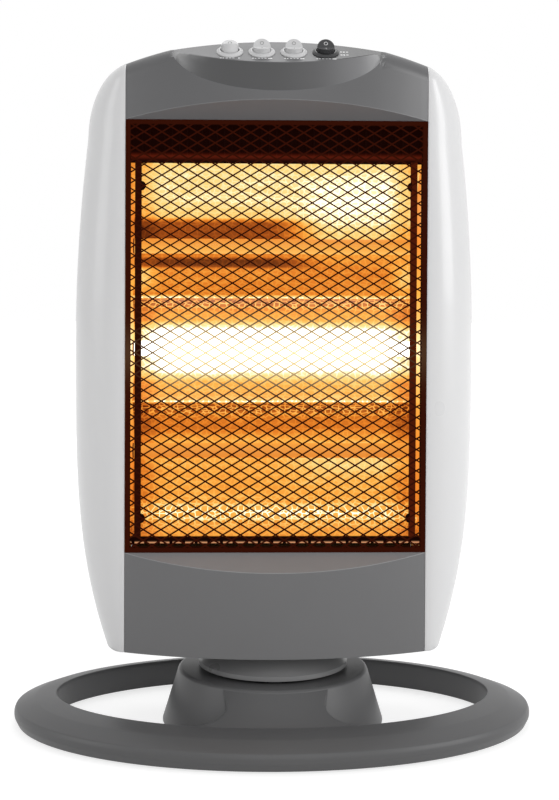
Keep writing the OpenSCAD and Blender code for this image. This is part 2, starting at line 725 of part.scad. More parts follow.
// Dark surround that holds the reflector behind the frame, with a post near each side
post_w = 4.6;
post_side = 3;
post_x = heat_x - post_side - post_w / 2;
surround_x = frame_w / 2 - 1;
module inner_surround() {
    z0 = heat_z0 + 1.5;
    h = heat_z1 - heat_z0 - 3;
    strip = heat_x - post_x - post_w / 2;
    color([0.09, 0.07, 0.06]) difference() {
        translate([-surround_x, inner_y, heat_z0 - 3]) cube([2 * surround_x, 3, heat_z1 - heat_z0 + 6]);
        translate([-post_x + post_w / 2, inner_y - 1, z0]) cube([2 * post_x - post_w, 5, h]);
        for (s = [-1, 1]) translate([s * (heat_x - strip / 2) - strip / 2, inner_y - 1, z0])
            cube([strip, 5, h]);
    }
}

clip_at = [for (s = [-1, 1]) for (z = [heat_z0 + 16, heat_z1 - 18]) [s * (post_x - post_w / 2), z]];
module grille_clips() {
    color([0.08, 0.06, 0.05]) for (p = clip_at) translate([p[0], 0, p[1]]) rotate([-90, 0, 0]) {
        translate([0, 0, frame_y]) cylinder(r = 3.4, h = 1.2);
        translate([0, 0, frame_y]) cylinder(r = 1.8, h = inner_y - frame_y + 0);
    }
}

// ---------- heating zone ----------

module trough_line(r)
    for (i = [-1:1]) translate([trough_back_y - trough_r, tube_z + i * tube_pitch]) circle(r);

// Polished sheet pressed into three troughs, one behind each tube, with a slanted wing above and below
wing_y = inner_y + 3;
wing_t = 1.2;
wing_in = 2.5;
module reflector() {
    z0 = tube_z - 1.5 * tube_pitch;
    z1 = tube_z + 1.5 * tube_pitch;
    color([0.85, 0.62, 0.25]) rotate([90, 0, 90]) translate([0, 0, -heat_x]) linear_extrude(2 * heat_x) {
        intersection() {
            difference() {
                trough_line(trough_r + sheet);
                trough_line(trough_r);
            }
            translate([trough_lip_y, z0 - 2 * sheet]) square([60, z1 - z0 + 4 * sheet]);
        }
        polygon([[trough_lip_y + wing_in, z1 - sheet], [trough_lip_y + wing_in, z1 + wing_t],
            [wing_y, heat_z1 - 2 + wing_t], [wing_y, heat_z1 - 2], [trough_lip_y, z1 + sheet / 4]]);
        polygon([[trough_lip_y, z0 - sheet / 4], [wing_y, heat_z0 + 2], [wing_y, heat_z0 + 2 - wing_t],
            [trough_lip_y + wing_in, z0 - wing_t], [trough_lip_y + wing_in, z0 + sheet]]);
    }
}

module end_plate(s) {
    x = s > 0 ? heat_x : -heat_x - plate_t;
    color([0.80, 0.60, 0.28]) difference() {
        union() {
            translate([x, inner_y + 3, heat_z0 - 3])
                cube([plate_t, trough_back_y + 6 - inner_y - 3, heat_z1 - heat_z0 + 6]);
            translate([s > 0 ? heat_x : -surround_x, inner_y + 3, heat_z0 - 3])
                cube([surround_x - heat_x, plate_t, heat_z1 - heat_z0 + 6]);
        }
        for (i = [-1:1]) translate([x - 1, tube_y, tube_z + i * tube_pitch]) rotate([0, 90, 0])
            cylinder(r = tube_d / 2 + 0.3, h = 4);
    }
}
module reflector_end_left() end_plate(-1);
module reflector_end_right() end_plate(1);

hood_rib_pitch = 5.3;
hood_d = 30;
hood_up = 3;
module hood() {
    z0 = heat_z1 + hood_up;
    w = surround_x;
    color([0.07, 0.04, 0.04]) {
        translate([-w, inner_y + 4, z0]) cube([2 * w, 1, window_top - z0]);
        translate([-w, inner_y, z0]) cube([2 * w, hood_d, sheet]);
        n = floor(w / hood_rib_pitch) - 1;
        for (i = [-n:n]) translate([i * hood_rib_pitch - 0.5, inner_y + 0.5, z0 + 0.5])
            cube([1, 4, window_top - z0 - 1]);
    }
}

module rear_heat_shield() {
    y = trough_back_y + 6;
    color([0.6, 0.6, 0.58]) {
        translate([-heat_x - plate_t, y, heat_z0 - 3])
            cube([2 * heat_x + 2 * plate_t, sheet, heat_z1 - heat_z0 + 6]);
        for (s = [-1, 1]) difference() {
            translate([s * bracket_x - 6, y + sheet / 2, tube_z - 6])
                cube([12, seam_rear - wall - y - sheet / 2, 12]);
            rear_screw_bores();
        }
    }
}

module quartz_tube(i) {
    color([1, 0.85, 0.5, 0.6]) translate([-heat_x - 8, tube_y, tube_z + i * tube_pitch]) rotate([0, 90, 0])
        difference() {
            cylinder(d = tube_d, h = 2 * heat_x + 16);
            translate([0, 0, -1]) cylinder(d = tube_d - 2.4, h = 2 * heat_x + 18);
        }
}
module quartz_tube_lower() quartz_tube(-1);
module quartz_tube_middle() quartz_tube(0);
module quartz_tube_upper() quartz_tube(1);

module filament(i) {
    color([1, 0.9, 0.6]) translate([-heat_x - 8, tube_y, tube_z + i * tube_pitch]) rotate([0, 90, 0])
        cylinder(d = 2.4, h = 2 * heat_x + 16);
}
module filament_lower() filament(-1);
module filament_middle() filament(0);
module filament_upper() filament(1);

module ceramic_caps() {
    color([0.92, 0.90, 0.84]) for (i = [-1:1]) for (s = [0, 1]) mirror([s, 0, 0])
        translate([heat_x + 8, tube_y, tube_z + i * tube_pitch]) rotate([0, 90, 0]) {
            cylinder(d = tube_d + 3, h = cap_l - 4);
            translate([0, 0, cap_l - 4]) cylinder(d = 5, h = 4);
        }
}

// ---------- electrics ----------

module tip_over_switch() {
    color([0.2, 0.2, 0.2]) translate([-70, 4, head_z + pan_t]) {
        cube([28, 14, 16]);
        translate([12, 4, 16]) cube([8, 6, 3]);
    }
}

module thermal_cutout() {
    color([0.15, 0.15, 0.15]) translate([heat_x + plate_t, trough_back_y - 4, tube_z + tube_pitch / 2])
        rotate([0, 90, 0]) {
            cylinder(r = 8, h = 5);
            translate([0, 0, 5]) cylinder(r = 5, h = 4);
        }
}

module terminal_block() {
    color([0.9, 0.88, 0.8]) translate([40, 6, head_z + pan_t]) {
        cube([36, 16, 5]);
        for (i = [0:3]) translate([2 + 8.6 * i, 2, 5]) cube([6.4, 12, 8]);
    }
}

// ---------- switches ----------

// Frame of switch i: origin on the deck, Z along the deck's normal
module on_deck(i)
    translate([(i - (switch_n - 1) / 2) * switch_pitch, deck_y, deck_z]) rotate([deck_tilt, 0, 0])
        translate([0, deck_len / 2 - 1, 0]) children();

module switch_housing() {
    difference() {
        union() {
            translate([0, 0, -switch_l]) cylinder(d = switch_d, h = switch_l);
            cylinder(d = bezel_d, h = 0.7);
            translate([0, 0, 0.7]) cylinder(d1 = bezel_d, d2 = switch_d, h = bezel_h - 0.7);
            for (x = [-3.5, 3.5]) translate([x - 0.4, -2.4, -switch_l - 7]) cube([0.8, 4.8, 8]);
        }
        translate([0, 0, -8]) cylinder(d = bezel_bore, h = 20);
        translate([0, 0, pivot_n]) rotate([0, 90, 0])
            cylinder(r = pin_r + run_fit, h = switch_d + 2, center = true);
    }
}
module switch_housings() color([0.75, 0.75, 0.75]) for (i = [0:switch_n - 2]) on_deck(i) switch_housing();
module switch_housing_upper() color([0.25, 0.25, 0.26]) on_deck(switch_n - 1) switch_housing();

// Round rocker with a shallow valley across its top, pivoting on two moulded pins
module rocker(i, side) {
    rise = 7.5;
    dip = 4.8;
    r = rocker_d / 2;
    on_deck(i) translate([0, 0, pivot_n]) rotate([side * rocker_tilt, 0, 0]) translate([0, 0, -pivot_n]) {
        intersection() {
            translate([0, 0, rocker_low]) cylinder(r = r, h = 20);
            rotate([90, 0, 90]) translate([0, 0, -10]) linear_extrude(20) polygon([
                [-r - 1, rocker_low], [r + 1, rocker_low],
                [r + 1, rise + 0.3], [0, dip], [-r - 1, rise + 0.3]]);
        }
        translate([0, 0, pivot_n]) rotate([0, 90, 0])
            cylinder(r = pin_r, h = switch_d - 0.4, center = true);
    }
}
module rocker_swing() color([0.78, 0.78, 0.78]) rocker(0, -1);
module rocker_lower() color([0.78, 0.78, 0.78]) rocker(1, 1);
module rocker_middle() color([0.78, 0.78, 0.78]) rocker(2, 1);
module rocker_upper() color([0.2, 0.2, 0.2]) rocker(3, 1);

base();
base_cover();
base_feet();
base_screws();
pivot_post();
post_circlip();
thrust_washer();
swing_yoke();
yoke_screws();
turntable_disc();
floor_pan();
side_panel_left();
side_panel_right();
top_fascia();
lower_front_panel();
rear_cover();
rear_screws();
cord_gland();
grille_rising_strands();
grille_falling_strands();
grille_frame();
inner_surround();
grille_clips();
reflector();
reflector_end_left();
reflector_end_right();
hood();
rear_heat_shield();
quartz_tube_lower();
quartz_tube_middle();
quartz_tube_upper();
filament_lower();
filament_middle();
filament_upper();
ceramic_caps();
swing_motor();
motor_screws();
crank_arm();
tip_over_switch();
thermal_cutout();
terminal_block();
switch_housings();
switch_housing_upper();
rocker_swing();
rocker_lower();
rocker_middle();
rocker_upper();
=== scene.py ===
import math
import bmesh
import bpy
from mathutils import Matrix, Vector


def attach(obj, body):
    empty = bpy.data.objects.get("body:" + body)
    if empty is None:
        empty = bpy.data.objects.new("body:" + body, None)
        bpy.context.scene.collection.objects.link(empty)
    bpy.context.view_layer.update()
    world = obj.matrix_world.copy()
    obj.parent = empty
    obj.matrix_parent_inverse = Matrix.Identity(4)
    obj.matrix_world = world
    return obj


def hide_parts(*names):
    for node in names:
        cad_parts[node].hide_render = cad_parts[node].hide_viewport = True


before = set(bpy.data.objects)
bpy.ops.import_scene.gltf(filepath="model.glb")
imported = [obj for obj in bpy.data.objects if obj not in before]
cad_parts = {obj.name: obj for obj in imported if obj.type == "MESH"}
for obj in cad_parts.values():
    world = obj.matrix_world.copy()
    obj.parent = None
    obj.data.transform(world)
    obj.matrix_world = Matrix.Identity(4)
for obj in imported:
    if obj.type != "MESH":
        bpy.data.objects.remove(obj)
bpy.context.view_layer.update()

# ---------- camera, lamps and floor ----------
# A long lens a little to the left of the middle and above the grille's centre, almost level, with a
# slight lean. Four soft boxes and a pale sheet that runs under the heater; what the camera sees
# behind it is plain white.
mm = 0.001
scene = bpy.context.scene
photo_height, photo_middle = 800, 279.5
lens_px, lens_middle = 1570.14, 274.641

camera_turn = math.radians(-1.942)
camera_distance = 1151.934 * mm
camera_height = 349.454 * mm
camera_pitch = math.radians(1.26)
camera_roll = math.radians(0.277)
camera_data = bpy.data.cameras.new("camera")
camera_data.sensor_width = 36.0
camera_data.lens = camera_data.sensor_width * lens_px / photo_height
camera_data.shift_x = (photo_middle - lens_middle) / photo_height
camera_data.shift_y = -0.15
camera_data.clip_start = 0.05
camera_data.clip_end = 20
camera = bpy.data.objects.new("camera", camera_data)
scene.collection.objects.link(camera)
camera.location = (camera_distance * math.sin(camera_turn), -camera_distance * math.cos(camera_turn),
                   camera_height)
camera.rotation_euler = (Matrix.Rotation(camera_turn, 3, "Z")
                         @ Matrix.Rotation(math.pi / 2 - camera_pitch, 3, "X")
                         @ Matrix.Rotation(camera_roll, 3, "Z")).to_euler()
scene.camera = camera
scene.view_settings.view_transform = "Standard"


def feed(tree, node, values):
    """Sets a node's inputs; one that is given as an output socket is linked."""
    for key, value in values.items():
        if isinstance(value, bpy.types.NodeSocket):
            tree.links.new(value, node.inputs[key])
        else:
            node.inputs[key].default_value = value


def add(tree, kind, values=None, **fields):
    """A node with its fields and inputs set."""
    new = tree.nodes.new("ShaderNode" + kind)
    for key, value in fields.items():
        setattr(new, key, value)
    feed(tree, new, values or {})
    return new


def calc(tree, operation, *values, **fields):
    """The result of a sum, product or other operation on the values."""
    return add(tree, "Math", dict(enumerate(values)), operation=operation, **fields).outputs[0]


def span(tree, value, start, end, low, high, run="LINEAR"):
    """Turns the values from start to end into those from low to high, and holds them beyond."""
    return add(tree, "MapRange", {"Value": value, "From Min": start, "From Max": end, "To Min": low,
                                  "To Max": high}, interpolation_type=run).outputs["Result"]


def seen_directly(tree):
    """1 for camera, glossy and transmission rays, 0 for light that falls on the heater."""
    path = add(tree, "LightPath").outputs
    either = calc(tree, "MAXIMUM", path["Is Camera Ray"], path["Is Glossy Ray"])
    return calc(tree, "MAXIMUM", either, path["Is Transmission Ray"])


air_light, air_seen = 0.45, 1.0
studio = bpy.data.worlds.new("studio")
scene.world = studio
studio.use_nodes = True
studio_nodes = studio.node_tree
feed(studio_nodes, studio_nodes.nodes["Background"], {
    "Color": (1, 1, 1, 1),
    "Strength": span(studio_nodes, seen_directly(studio_nodes), 0.0, 1.0, air_light, air_seen)})

lamp_aim = Vector((0, 0, 0.27))
for lamp_name, place, size, power in (("top_box", (0.0, 0.35, 1.8), 1.0, 7.5),
                                      ("front_box", (0.2, -2.3, 1.5), 1.2, 9.0),
                                      ("right_box", (1.6, -0.8, 0.7), 0.9, 13.5),
                                      ("left_box", (-1.7, -0.6, 0.7), 0.9, 5.5)):
    lamp_data = bpy.data.lights.new(lamp_name, "AREA")
    lamp_data.size = size
    lamp_data.energy = power
    lamp = bpy.data.objects.new(lamp_name, lamp_data)
    scene.collection.objects.link(lamp)
    lamp.location = place
    lamp.rotation_euler = (lamp_aim - Vector(place)).to_track_quat("-Z", "Y").to_euler()

floor_tone, floor_light, floor_half = 0.93, 1.35, 6
shadow_reach, plain_reach, shadow_part = 0.35, 1.3, 0.55
floor_paint = bpy.data.materials.new("floor_paint")
floor_paint.use_nodes = True
floor_nodes = floor_paint.node_tree
floor_matt = floor_nodes.nodes["Principled BSDF"]
feed(floor_nodes, floor_matt, {"Base Color": (floor_tone, floor_tone, floor_tone, 1), "Roughness": 0.9})
floor_glow = add(floor_nodes, "Emission", {"Color": (1, 1, 1, 1), "Strength": floor_light})
floor_away = add(floor_nodes, "VectorMath", {0: add(floor_nodes, "TexCoord").outputs["Object"]},
                 operation="LENGTH").outputs["Value"]
floor_fade = span(floor_nodes, floor_away, shadow_reach, plain_reach, shadow_part, 1.0, "SMOOTHSTEP")
floor_share = calc(floor_nodes, "MULTIPLY", seen_directly(floor_nodes), floor_fade)
floor_mix = add(floor_nodes, "MixShader", {0: floor_share, 1: floor_matt.outputs[0],
                                           2: floor_glow.outputs[0]})
feed(floor_nodes, floor_nodes.nodes["Material Output"], {"Surface": floor_mix.outputs[0]})
floor_mesh = bpy.data.meshes.new("floor")
bm = bmesh.new()
bmesh.ops.create_grid(bm, x_segments=1, y_segments=1, size=floor_half)
bm.to_mesh(floor_mesh)
bm.free()
floor_mesh.materials.append(floor_paint)
floor = bpy.data.objects.new("floor", floor_mesh)
scene.collection.objects.link(floor)

# ---------- base moulding ----------
# An oval band that slopes from its inner lip to a ridge round the outside, a conical pedestal in its
# middle, and a waisted bridge to the band in front and behind. One dark grey ABS moulding, open
# underneath, with a fine spark-eroded grain.
base_half_w, base_half_d = 189.0 * mm, 125.0 * mm
band_w, band_h, foot_h, base_wall = 27.0 * mm, 23.5 * mm, 1.5 * mm, 2.6 * mm
pedestal_top, pedestal_r, pedestal_foot_r = 40.5 * mm, 69.0 * mm, 81.0 * mm
post_r = 5.0 * mm

grain = bpy.data.node_groups.new("moulded_grain", "ShaderNodeTree")
for label, way, value in (("Grain Scale", "INPUT", 1500.0), ("Patch Scale", "INPUT", 14.0),
                          ("Height", "OUTPUT", 0.0), ("Patches", "OUTPUT", 0.0)):
    grain_socket = grain.interface.new_socket(label, in_out=way, socket_type="NodeSocketFloat")
    grain_socket.default_value = value
grain_in = grain.nodes.new("NodeGroupInput").outputs
grain_place = add(grain, "TexCoord").outputs["Object"]
grain_fine = add(grain, "TexNoise", {"Vector": grain_place, "Scale": grain_in["Grain Scale"],
                                     "Detail": 2.0, "Roughness": 0.6})
grain_pits = add(grain, "TexVoronoi", {"Vector": grain_place, "Scale": grain_in["Grain Scale"]})
grain_patch = add(grain, "TexNoise", {"Vector": grain_place, "Scale": grain_in["Patch Scale"],
                                      "Detail": 3.0, "Roughness": 0.55})
feed(grain, grain.nodes.new("NodeGroupOutput"), {
    "Height": calc(grain, "MULTIPLY", grain_fine.outputs["Fac"], grain_pits.outputs["Distance"]),
    "Patches": grain_patch.outputs["Fac"]})


def mix(tree, part, first, second):
    """The first colour where part is 0, turning into the second where it is 1."""
    return add(tree, "Mix", {"Factor": part, 6: first, 7: second}, data_type="RGBA").outputs[2]


def shade(colour, part):
    """A colour made lighter or darker by a factor, with its alpha."""
    return tuple(min(1.0, c * part) for c in colour) + (1,)


def set_surface(material, values):
    """Sets or links inputs of a material's surface."""
    feed(material.node_tree, material.node_tree.nodes["Principled BSDF"], values)


def moulded(name, colour, roughness, depth=0.02, grain_scale=1500.0, spread=0.06, metallic=0.0,
            coat=0.0):
    """A moulded, painted or cast surface: fine grain, and slow drifts of tone and gloss."""
    material = bpy.data.materials.new(name)
    material.use_nodes = True
    tree = material.node_tree
    surface = tree.nodes.new("ShaderNodeGroup")
    surface.node_tree = grain
    feed(tree, surface, {"Grain Scale": grain_scale})
    patches = surface.outputs["Patches"]
    bumps = add(tree, "Bump", {"Height": surface.outputs["Height"], "Strength": 0.5,
                               "Distance": depth * mm})
    set_surface(material, {
        "Metallic": metallic, "Coat Weight": coat, "Normal": bumps.outputs["Normal"],
        "Base Color": mix(tree, patches, shade(colour, 1 - spread), shade(colour, 1 + spread)),
        "Roughness": span(tree, patches, 0.0, 1.0, max(0.0, roughness - 0.1), roughness + 0.1)})
    return material


def retone(material, mask, part):
    """Makes a moulded surface lighter or darker: by the factor where the mask is 1, not where it is 0."""
    tree = material.node_tree
    colour = tree.nodes["Principled BSDF"].inputs["Base Color"].links[0].from_socket
    toned = add(tree, "VectorMath", {0: colour, "Scale": calc(tree, "MULTIPLY_ADD", mask, part - 1, 1.0)},
                operation="SCALE")
    set_surface(material, {"Base Color": toned.outputs["Vector"]})


def axes_of(tree):
    """Where a point of the heater lies along X, Y and Z."""
    return add(tree, "SeparateXYZ", {0: add(tree, "TexCoord").outputs["Object"]}).outputs


def over_plane(tree, y, z, slope):
    """The height of a point over the plane through (y, z) that rises by slope towards the rear."""
    axes = axes_of(tree)
    line = calc(tree, "MULTIPLY_ADD", calc(tree, "SUBTRACT", axes["Y"], y), math.tan(slope), z)
    return calc(tree, "SUBTRACT", axes["Z"], line)


def on_plane(tree, y, z, slope):
    """1 on that plane, 0 beside it."""
    return calc(tree, "LESS_THAN", calc(tree, "ABSOLUTE", over_plane(tree, y, z, slope)), 0.5 * mm)


def dress(material, *nodes):
    """Gives CAD nodes a material."""
    for name in nodes:
        for material_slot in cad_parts[name].material_slots:
            material_slot.material = material


def put(name, bm, material, body, stands_for=(), crease=35):
    """Makes a piece of the mesh, smooth but for edges sharper than crease, and fixes it to its body."""
    mesh = bpy.data.meshes.new(name)
    bm.to_mesh(mesh)
    bm.free()
    mesh.materials.append(material)
    mesh.shade_smooth()
    mesh.set_sharp_from_angle(angle=math.radians(crease))
    piece = bpy.data.objects.new(name, mesh)
    scene.collection.objects.link(piece)
    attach(piece, body)
    if stands_for:
        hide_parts(*stands_for)
    return piece


def thicken(piece, name, thickness):
    """Gives a surface its wall, on the inner side."""
    wall = piece.modifiers.new(name, "SOLIDIFY")
    wall.thickness = thickness
    wall.offset = -1


def soften(piece, width, angle):
    """Rounds the edges of a piece that are sharper than the angle."""
    edge = piece.modifiers.new("soft_edge", "BEVEL")
    edge.width = width
    edge.segments = 2
    edge.limit_method = "ANGLE"
    edge.angle_limit = math.radians(angle)
    return edge


def outline(bm, points, closed=True):
    """A wire through the points, ready to be spun or extruded."""
    corners = [bm.verts.new(p) for p in points]
    pairs = list(zip(corners, corners[1:] + corners[:1]))
    for a, b in pairs if closed else pairs[:-1]:
        bm.edges.new((a, b))


def round_corners(bm, radius):
    """Rounds every corner of a wire."""
    bmesh.ops.bevel(bm, geom=bm.verts[:] + bm.edges[:], offset=radius, offset_type="OFFSET",
                    segments=3, profile=0.5, affect="VERTICES", clamp_overlap=True, material=-1)


def spin_round(bm, axis, steps):
    """Turns what is in bm once round an axis and closes the seam."""
    bmesh.ops.spin(bm, geom=bm.verts[:] + bm.edges[:], cent=(0, 0, 0), axis=axis, angle=2 * math.pi,
                   steps=steps, use_merge=True)
    bmesh.ops.remove_doubles(bm, verts=bm.verts[:], dist=1e-6)
    bmesh.ops.recalc_face_normals(bm, faces=bm.faces[:])


housing_grey = moulded("housing_grey", (0.096, 0.096, 0.098), 0.42, depth=0.03)
set_surface(housing_grey, {"Specular IOR Level": 0.32})

lip_in, ridge_h, ridge_in = 3.5 * mm, 13.2 * mm, 1.2 * mm
skirt_in, skirt_top = 2.8 * mm, ridge_h - 6 * mm
slope_x, slope_h = -band_w * 0.55, (band_h + ridge_h) / 2
bm = bmesh.new()
outline(bm, [(base_half_w + x, 0, z) for x, z in (
    (-band_w, foot_h), (-band_w - lip_in, band_h - 4 * mm), (-band_w - lip_in, band_h - 1.2 * mm),
    (slope_x, slope_h + 0.8 * mm), (-ridge_in, ridge_h + 0.6 * mm), (0, ridge_h - 2.4 * mm),
    (0, skirt_top), (-skirt_in, foot_h), (-skirt_in - base_wall, foot_h), (-base_wall, skirt_top),
    (-base_wall - ridge_in, ridge_h - base_wall), (slope_x, slope_h - base_wall),
    (-band_w + base_wall, band_h - 2 * base_wall), (-band_w + base_wall, foot_h))])
round_corners(bm, 0.8 * mm)
spin_round(bm, (0, 0, 1), 144)
for vert in bm.verts:
    outwards = math.hypot(vert.co.x, vert.co.y) - base_half_w
    turn = math.atan2(vert.co.y, vert.co.x)
    facing = Vector((base_half_d * math.cos(turn), base_half_w * math.sin(turn), 0)).normalized()
    nose = Vector((base_half_w * math.cos(turn), base_half_d * math.sin(turn), vert.co.z))
    vert.co = nose + facing * outwards
put("base_band", bm, housing_grey, "base_unit", ["base"], crease=48)

bm = bmesh.new()
slope = (pedestal_foot_r - pedestal_r) / (pedestal_top - foot_h)
rim_cut, boss_r, boss_foot = 1.5 * mm, post_r + 5 * mm, 14 * mm
outline(bm, [(r, 0, z) for r, z in (
    (pedestal_foot_r, foot_h), (pedestal_r + rim_cut * slope, pedestal_top - rim_cut),
    (pedestal_r - rim_cut, pedestal_top), (post_r, pedestal_top), (post_r, boss_foot),
    (boss_r, boss_foot), (boss_r, pedestal_top - base_wall),
    (pedestal_r - base_wall - rim_cut, pedestal_top - base_wall),
    (pedestal_foot_r - base_wall, foot_h))])
round_corners(bm, 0.7 * mm)
spin_round(bm, (0, 0, 1), 128)
put("base_pedestal", bm, housing_grey, "base_unit", crease=48)

bridge_start, waist_y, flare_y, bridge_end = 50.0 * mm, 73.0 * mm, 88.9 * mm, 100.0 * mm
waist_half, waist_r, flare_half = 34.0 * mm, 34.0 * mm, 60.0 * mm


def bridge_half(depth):
    """Half the bridge's width: an arc from the pedestal to the waist, then a flare into the band."""
    if depth < waist_y:
        return waist_half + waist_r - math.sqrt(waist_r ** 2 - (waist_y - depth) ** 2)
    part = min(1.0, (depth - waist_y) / (flare_y - waist_y))
    return flare_half - (flare_half - waist_half) * math.sqrt(1 - part * part)


def bridge_height(x, depth):
    """From the pedestal's rim down to the band's own slope, laid just under both."""
    rim_y = math.sqrt(max(0.0, (pedestal_r - 2 * mm) ** 2 - x * x))
    edge_y = base_half_d * math.sqrt(1 - (x / base_half_w) ** 2)
    lip_y = edge_y - band_w - lip_in
    run = max(0.0, depth - lip_y) / (band_w + lip_in)
    on_band = band_h - 1.4 * mm - (band_h - ridge_h - 1.8 * mm) * run
    fall = min(1.0, max(0.0, (depth - rim_y) / (lip_y - rim_y)))
    return pedestal_top - 0.1 * mm - (pedestal_top - 0.1 * mm - on_band) * (1.2 * fall - 0.2 * fall * fall)


for side, name in ((-1, "base_bridge_front"), (1, "base_bridge_rear")):
    bm = bmesh.new()
    bmesh.ops.create_grid(bm, x_segments=28, y_segments=64, size=1)
    rim = [edge for edge in bm.edges if edge.is_boundary]
    for vert in bm.verts:
        along = (vert.co.y + 1) / 2
        depth = bridge_start + (bridge_end - bridge_start) * along
        across = vert.co.x * bridge_half(depth)
        vert.co = (across, side * depth, bridge_height(across, depth))
    walls = bmesh.ops.extrude_edge_only(bm, edges=rim)["geom"]
    for vert in (v for v in walls if isinstance(v, bmesh.types.BMVert)):
        vert.co.z = foot_h
    bmesh.ops.recalc_face_normals(bm, faces=bm.faces[:])
    bmesh.ops.bevel(bm, geom=[e for e in bm.edges if len(e.link_faces) == 2
                              and e.calc_face_angle() > math.radians(60)
                              and abs(e.verts[0].co.x + e.verts[1].co.x) > waist_half
                              and min(v.co.z for v in e.verts) > ridge_h],
                    offset=0.8 * mm, segments=3, profile=0.5, affect="EDGES", clamp_overlap=True,
                    material=-1)
    bridge = put(name, bm, housing_grey, "base_unit", crease=40)
    thicken(bridge, "wall", base_wall)

# ---------- base cover, feet and screws ----------
# A flat black cover under the pedestal on three screws, and four soft rubber feet pressed into bosses
# inside the band.
dark_plastic = moulded("dark_plastic", (0.018, 0.018, 0.019), 0.5)
rubber = moulded("rubber", (0.012, 0.012, 0.012), 0.75, depth=0.05, grain_scale=900.0)
steel = moulded("steel", (0.56, 0.57, 0.58), 0.32, depth=0.01, grain_scale=2600.0, metallic=1.0)
dress(dark_plastic, "base_cover")
dress(rubber, "base_feet")
dress(steel, "base_screws")

# ---------- swivel ----------
# A turned steel post with a circlip carries the head on a nylon washer. The motor's nylon crank works
# in the slot of a pressed steel yoke that is screwed to the pedestal.
nylon = moulded("nylon", (0.72, 0.69, 0.6), 0.45)
black_steel = moulded("black_steel", (0.02, 0.02, 0.022), 0.45, depth=0.01, metallic=0.5)
dress(steel, "pivot_post", "post_circlip")
dress(black_steel, "swing_yoke", "yoke_screws")
dress(nylon, "thrust_washer", "crank_arm")

# ---------- turntable disc ----------
# The grey conical skirt under the head, drawn out to a thin rim that runs just above the pedestal.
# One ABS moulding, which turns with the head.
disc_grey = moulded("disc_grey", (0.19, 0.19, 0.192), 0.30, depth=0.02)
dress(disc_grey, "turntable_disc")

# ---------- floor pan and lower front panel ----------
# The grey crowned panel under the grille hides the head's dark floor pan. Its upper edge is laid back
# as a facet that meets the front in an arc.
def moulded_copy(name, source, material, body, edge_r, crease=16):
    """The form of a CAD moulding in smooth faces, with its sharp edges slightly rounded."""
    bm = bmesh.new()
    bm.from_mesh(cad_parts[source].data)
    bmesh.ops.remove_doubles(bm, verts=bm.verts[:], dist=2e-6)
    bmesh.ops.dissolve_limit(bm, angle_limit=math.radians(0.2), verts=bm.verts[:], edges=bm.edges[:],
                             use_dissolve_boundaries=False)
    piece = put(name, bm, material, body, [source], crease=crease)
    edge = soften(piece, edge_r, crease)
    edge.use_clamp_overlap = True
    edge.harden_normals = True


front_grey = moulded("front_grey", (0.128, 0.128, 0.131), 0.38, depth=0.03)
dress(dark_plastic, "floor_pan")
front_seam, window_low, facet_slope = 42.0 * mm, 131.7 * mm, math.radians(25)
# Painted light: the laid-back facet along the panel's upper edge is painted lighter, for the light that falls
# on it.
retone(front_grey, on_plane(front_grey.node_tree, -front_seam, window_low, facet_slope), 1.9)
moulded_copy("lower_panel", "lower_front_panel", front_grey, "head", 0.35 * mm)

# ---------- side panels ----------
# Two pale satin shells wrap the sides from the front seam to the rear seam: bellied, drawn in at the
# foot and rolled over into the shoulder. Moulded plastic, screwed to the frame from inside.
section_half, seam_rear, panel_gap, panel_wall = 106.8 * mm, 46 * mm, 0.15 * mm, 2.5 * mm
head_low, head_rise, head_half = 60.7 * mm, 434.0 * mm, 145.0 * mm
head_middle = head_low + head_rise / 2
crown_r, crown_round = 348.0 * mm, 12.0 * mm
crown_centre = head_low + head_rise - crown_r
seam_top = crown_centre + math.sqrt(crown_r ** 2 - section_half ** 2)
shoulder_h, foot_tuck, tuck_curve, belly = 52.0 * mm, 23.3 * mm, 3.4, 1240.0 * mm
shoulder_low = seam_top - shoulder_h


def panel_half(height):
    """Half the width over the side panels at a height."""
    if height < head_middle:
        return head_half - foot_tuck * ((head_middle - height) / (head_rise / 2)) ** tuck_curve
    upper = head_half - (min(height, shoulder_low) - head_middle) ** 2 / (2 * belly)
    if height < shoulder_low:
        return upper
    roll = min(1.0, (height - shoulder_low) / shoulder_h)
    return upper - (upper - section_half) * (1 - math.sqrt(1 - roll * roll))


def panel_front(height):
    """How far the front seam stands before the middle at a height: it follows the rounded crown."""
    up = max(0.0, height - seam_top + crown_round)
    return front_seam - crown_round + math.sqrt(max(0.0, crown_round ** 2 - up ** 2))


side_rows = 0.6  # the share of a shell's rows that lies below its shoulder
panel_white = moulded("panel_white", (0.66, 0.66, 0.665), 0.3, depth=0.012, spread=0.015, coat=0.15)
for side, name in ((-1, "left"), (1, "right")):
    bm = bmesh.new()
    bmesh.ops.create_grid(bm, x_segments=72, y_segments=36, size=0.5)
    for vert in bm.verts:
        up, round_side = vert.co.x + 0.5, vert.co.y + 0.5
        if up < side_rows:
            rise = head_low + (shoulder_low - head_low) * up / side_rows
        else:
            roll = math.pi / 2 * (up - side_rows) / (1 - side_rows)
            rise = shoulder_low + shoulder_h * math.sin(roll)
        turn = math.pi * round_side
        out = section_half + panel_gap + max(0.0, panel_half(rise) - section_half) * math.sin(turn)
        depth = panel_front(rise) if turn < math.pi / 2 else seam_rear
        vert.co = (side * out, -depth * math.cos(turn), rise)
    bmesh.ops.remove_doubles(bm, verts=bm.verts[:], dist=1e-6)
    bmesh.ops.recalc_face_normals(bm, faces=bm.faces[:])
    if sum(f.normal.x * side for f in bm.faces) < 0:
        bmesh.ops.reverse_faces(bm, faces=bm.faces[:])
    panel = put("side_shell_" + name, bm, panel_white, "head", ["side_panel_" + name],
                crease=60)
    thicken(panel, "wall", panel_wall)
    soften(panel, 0.5 * mm, 50)

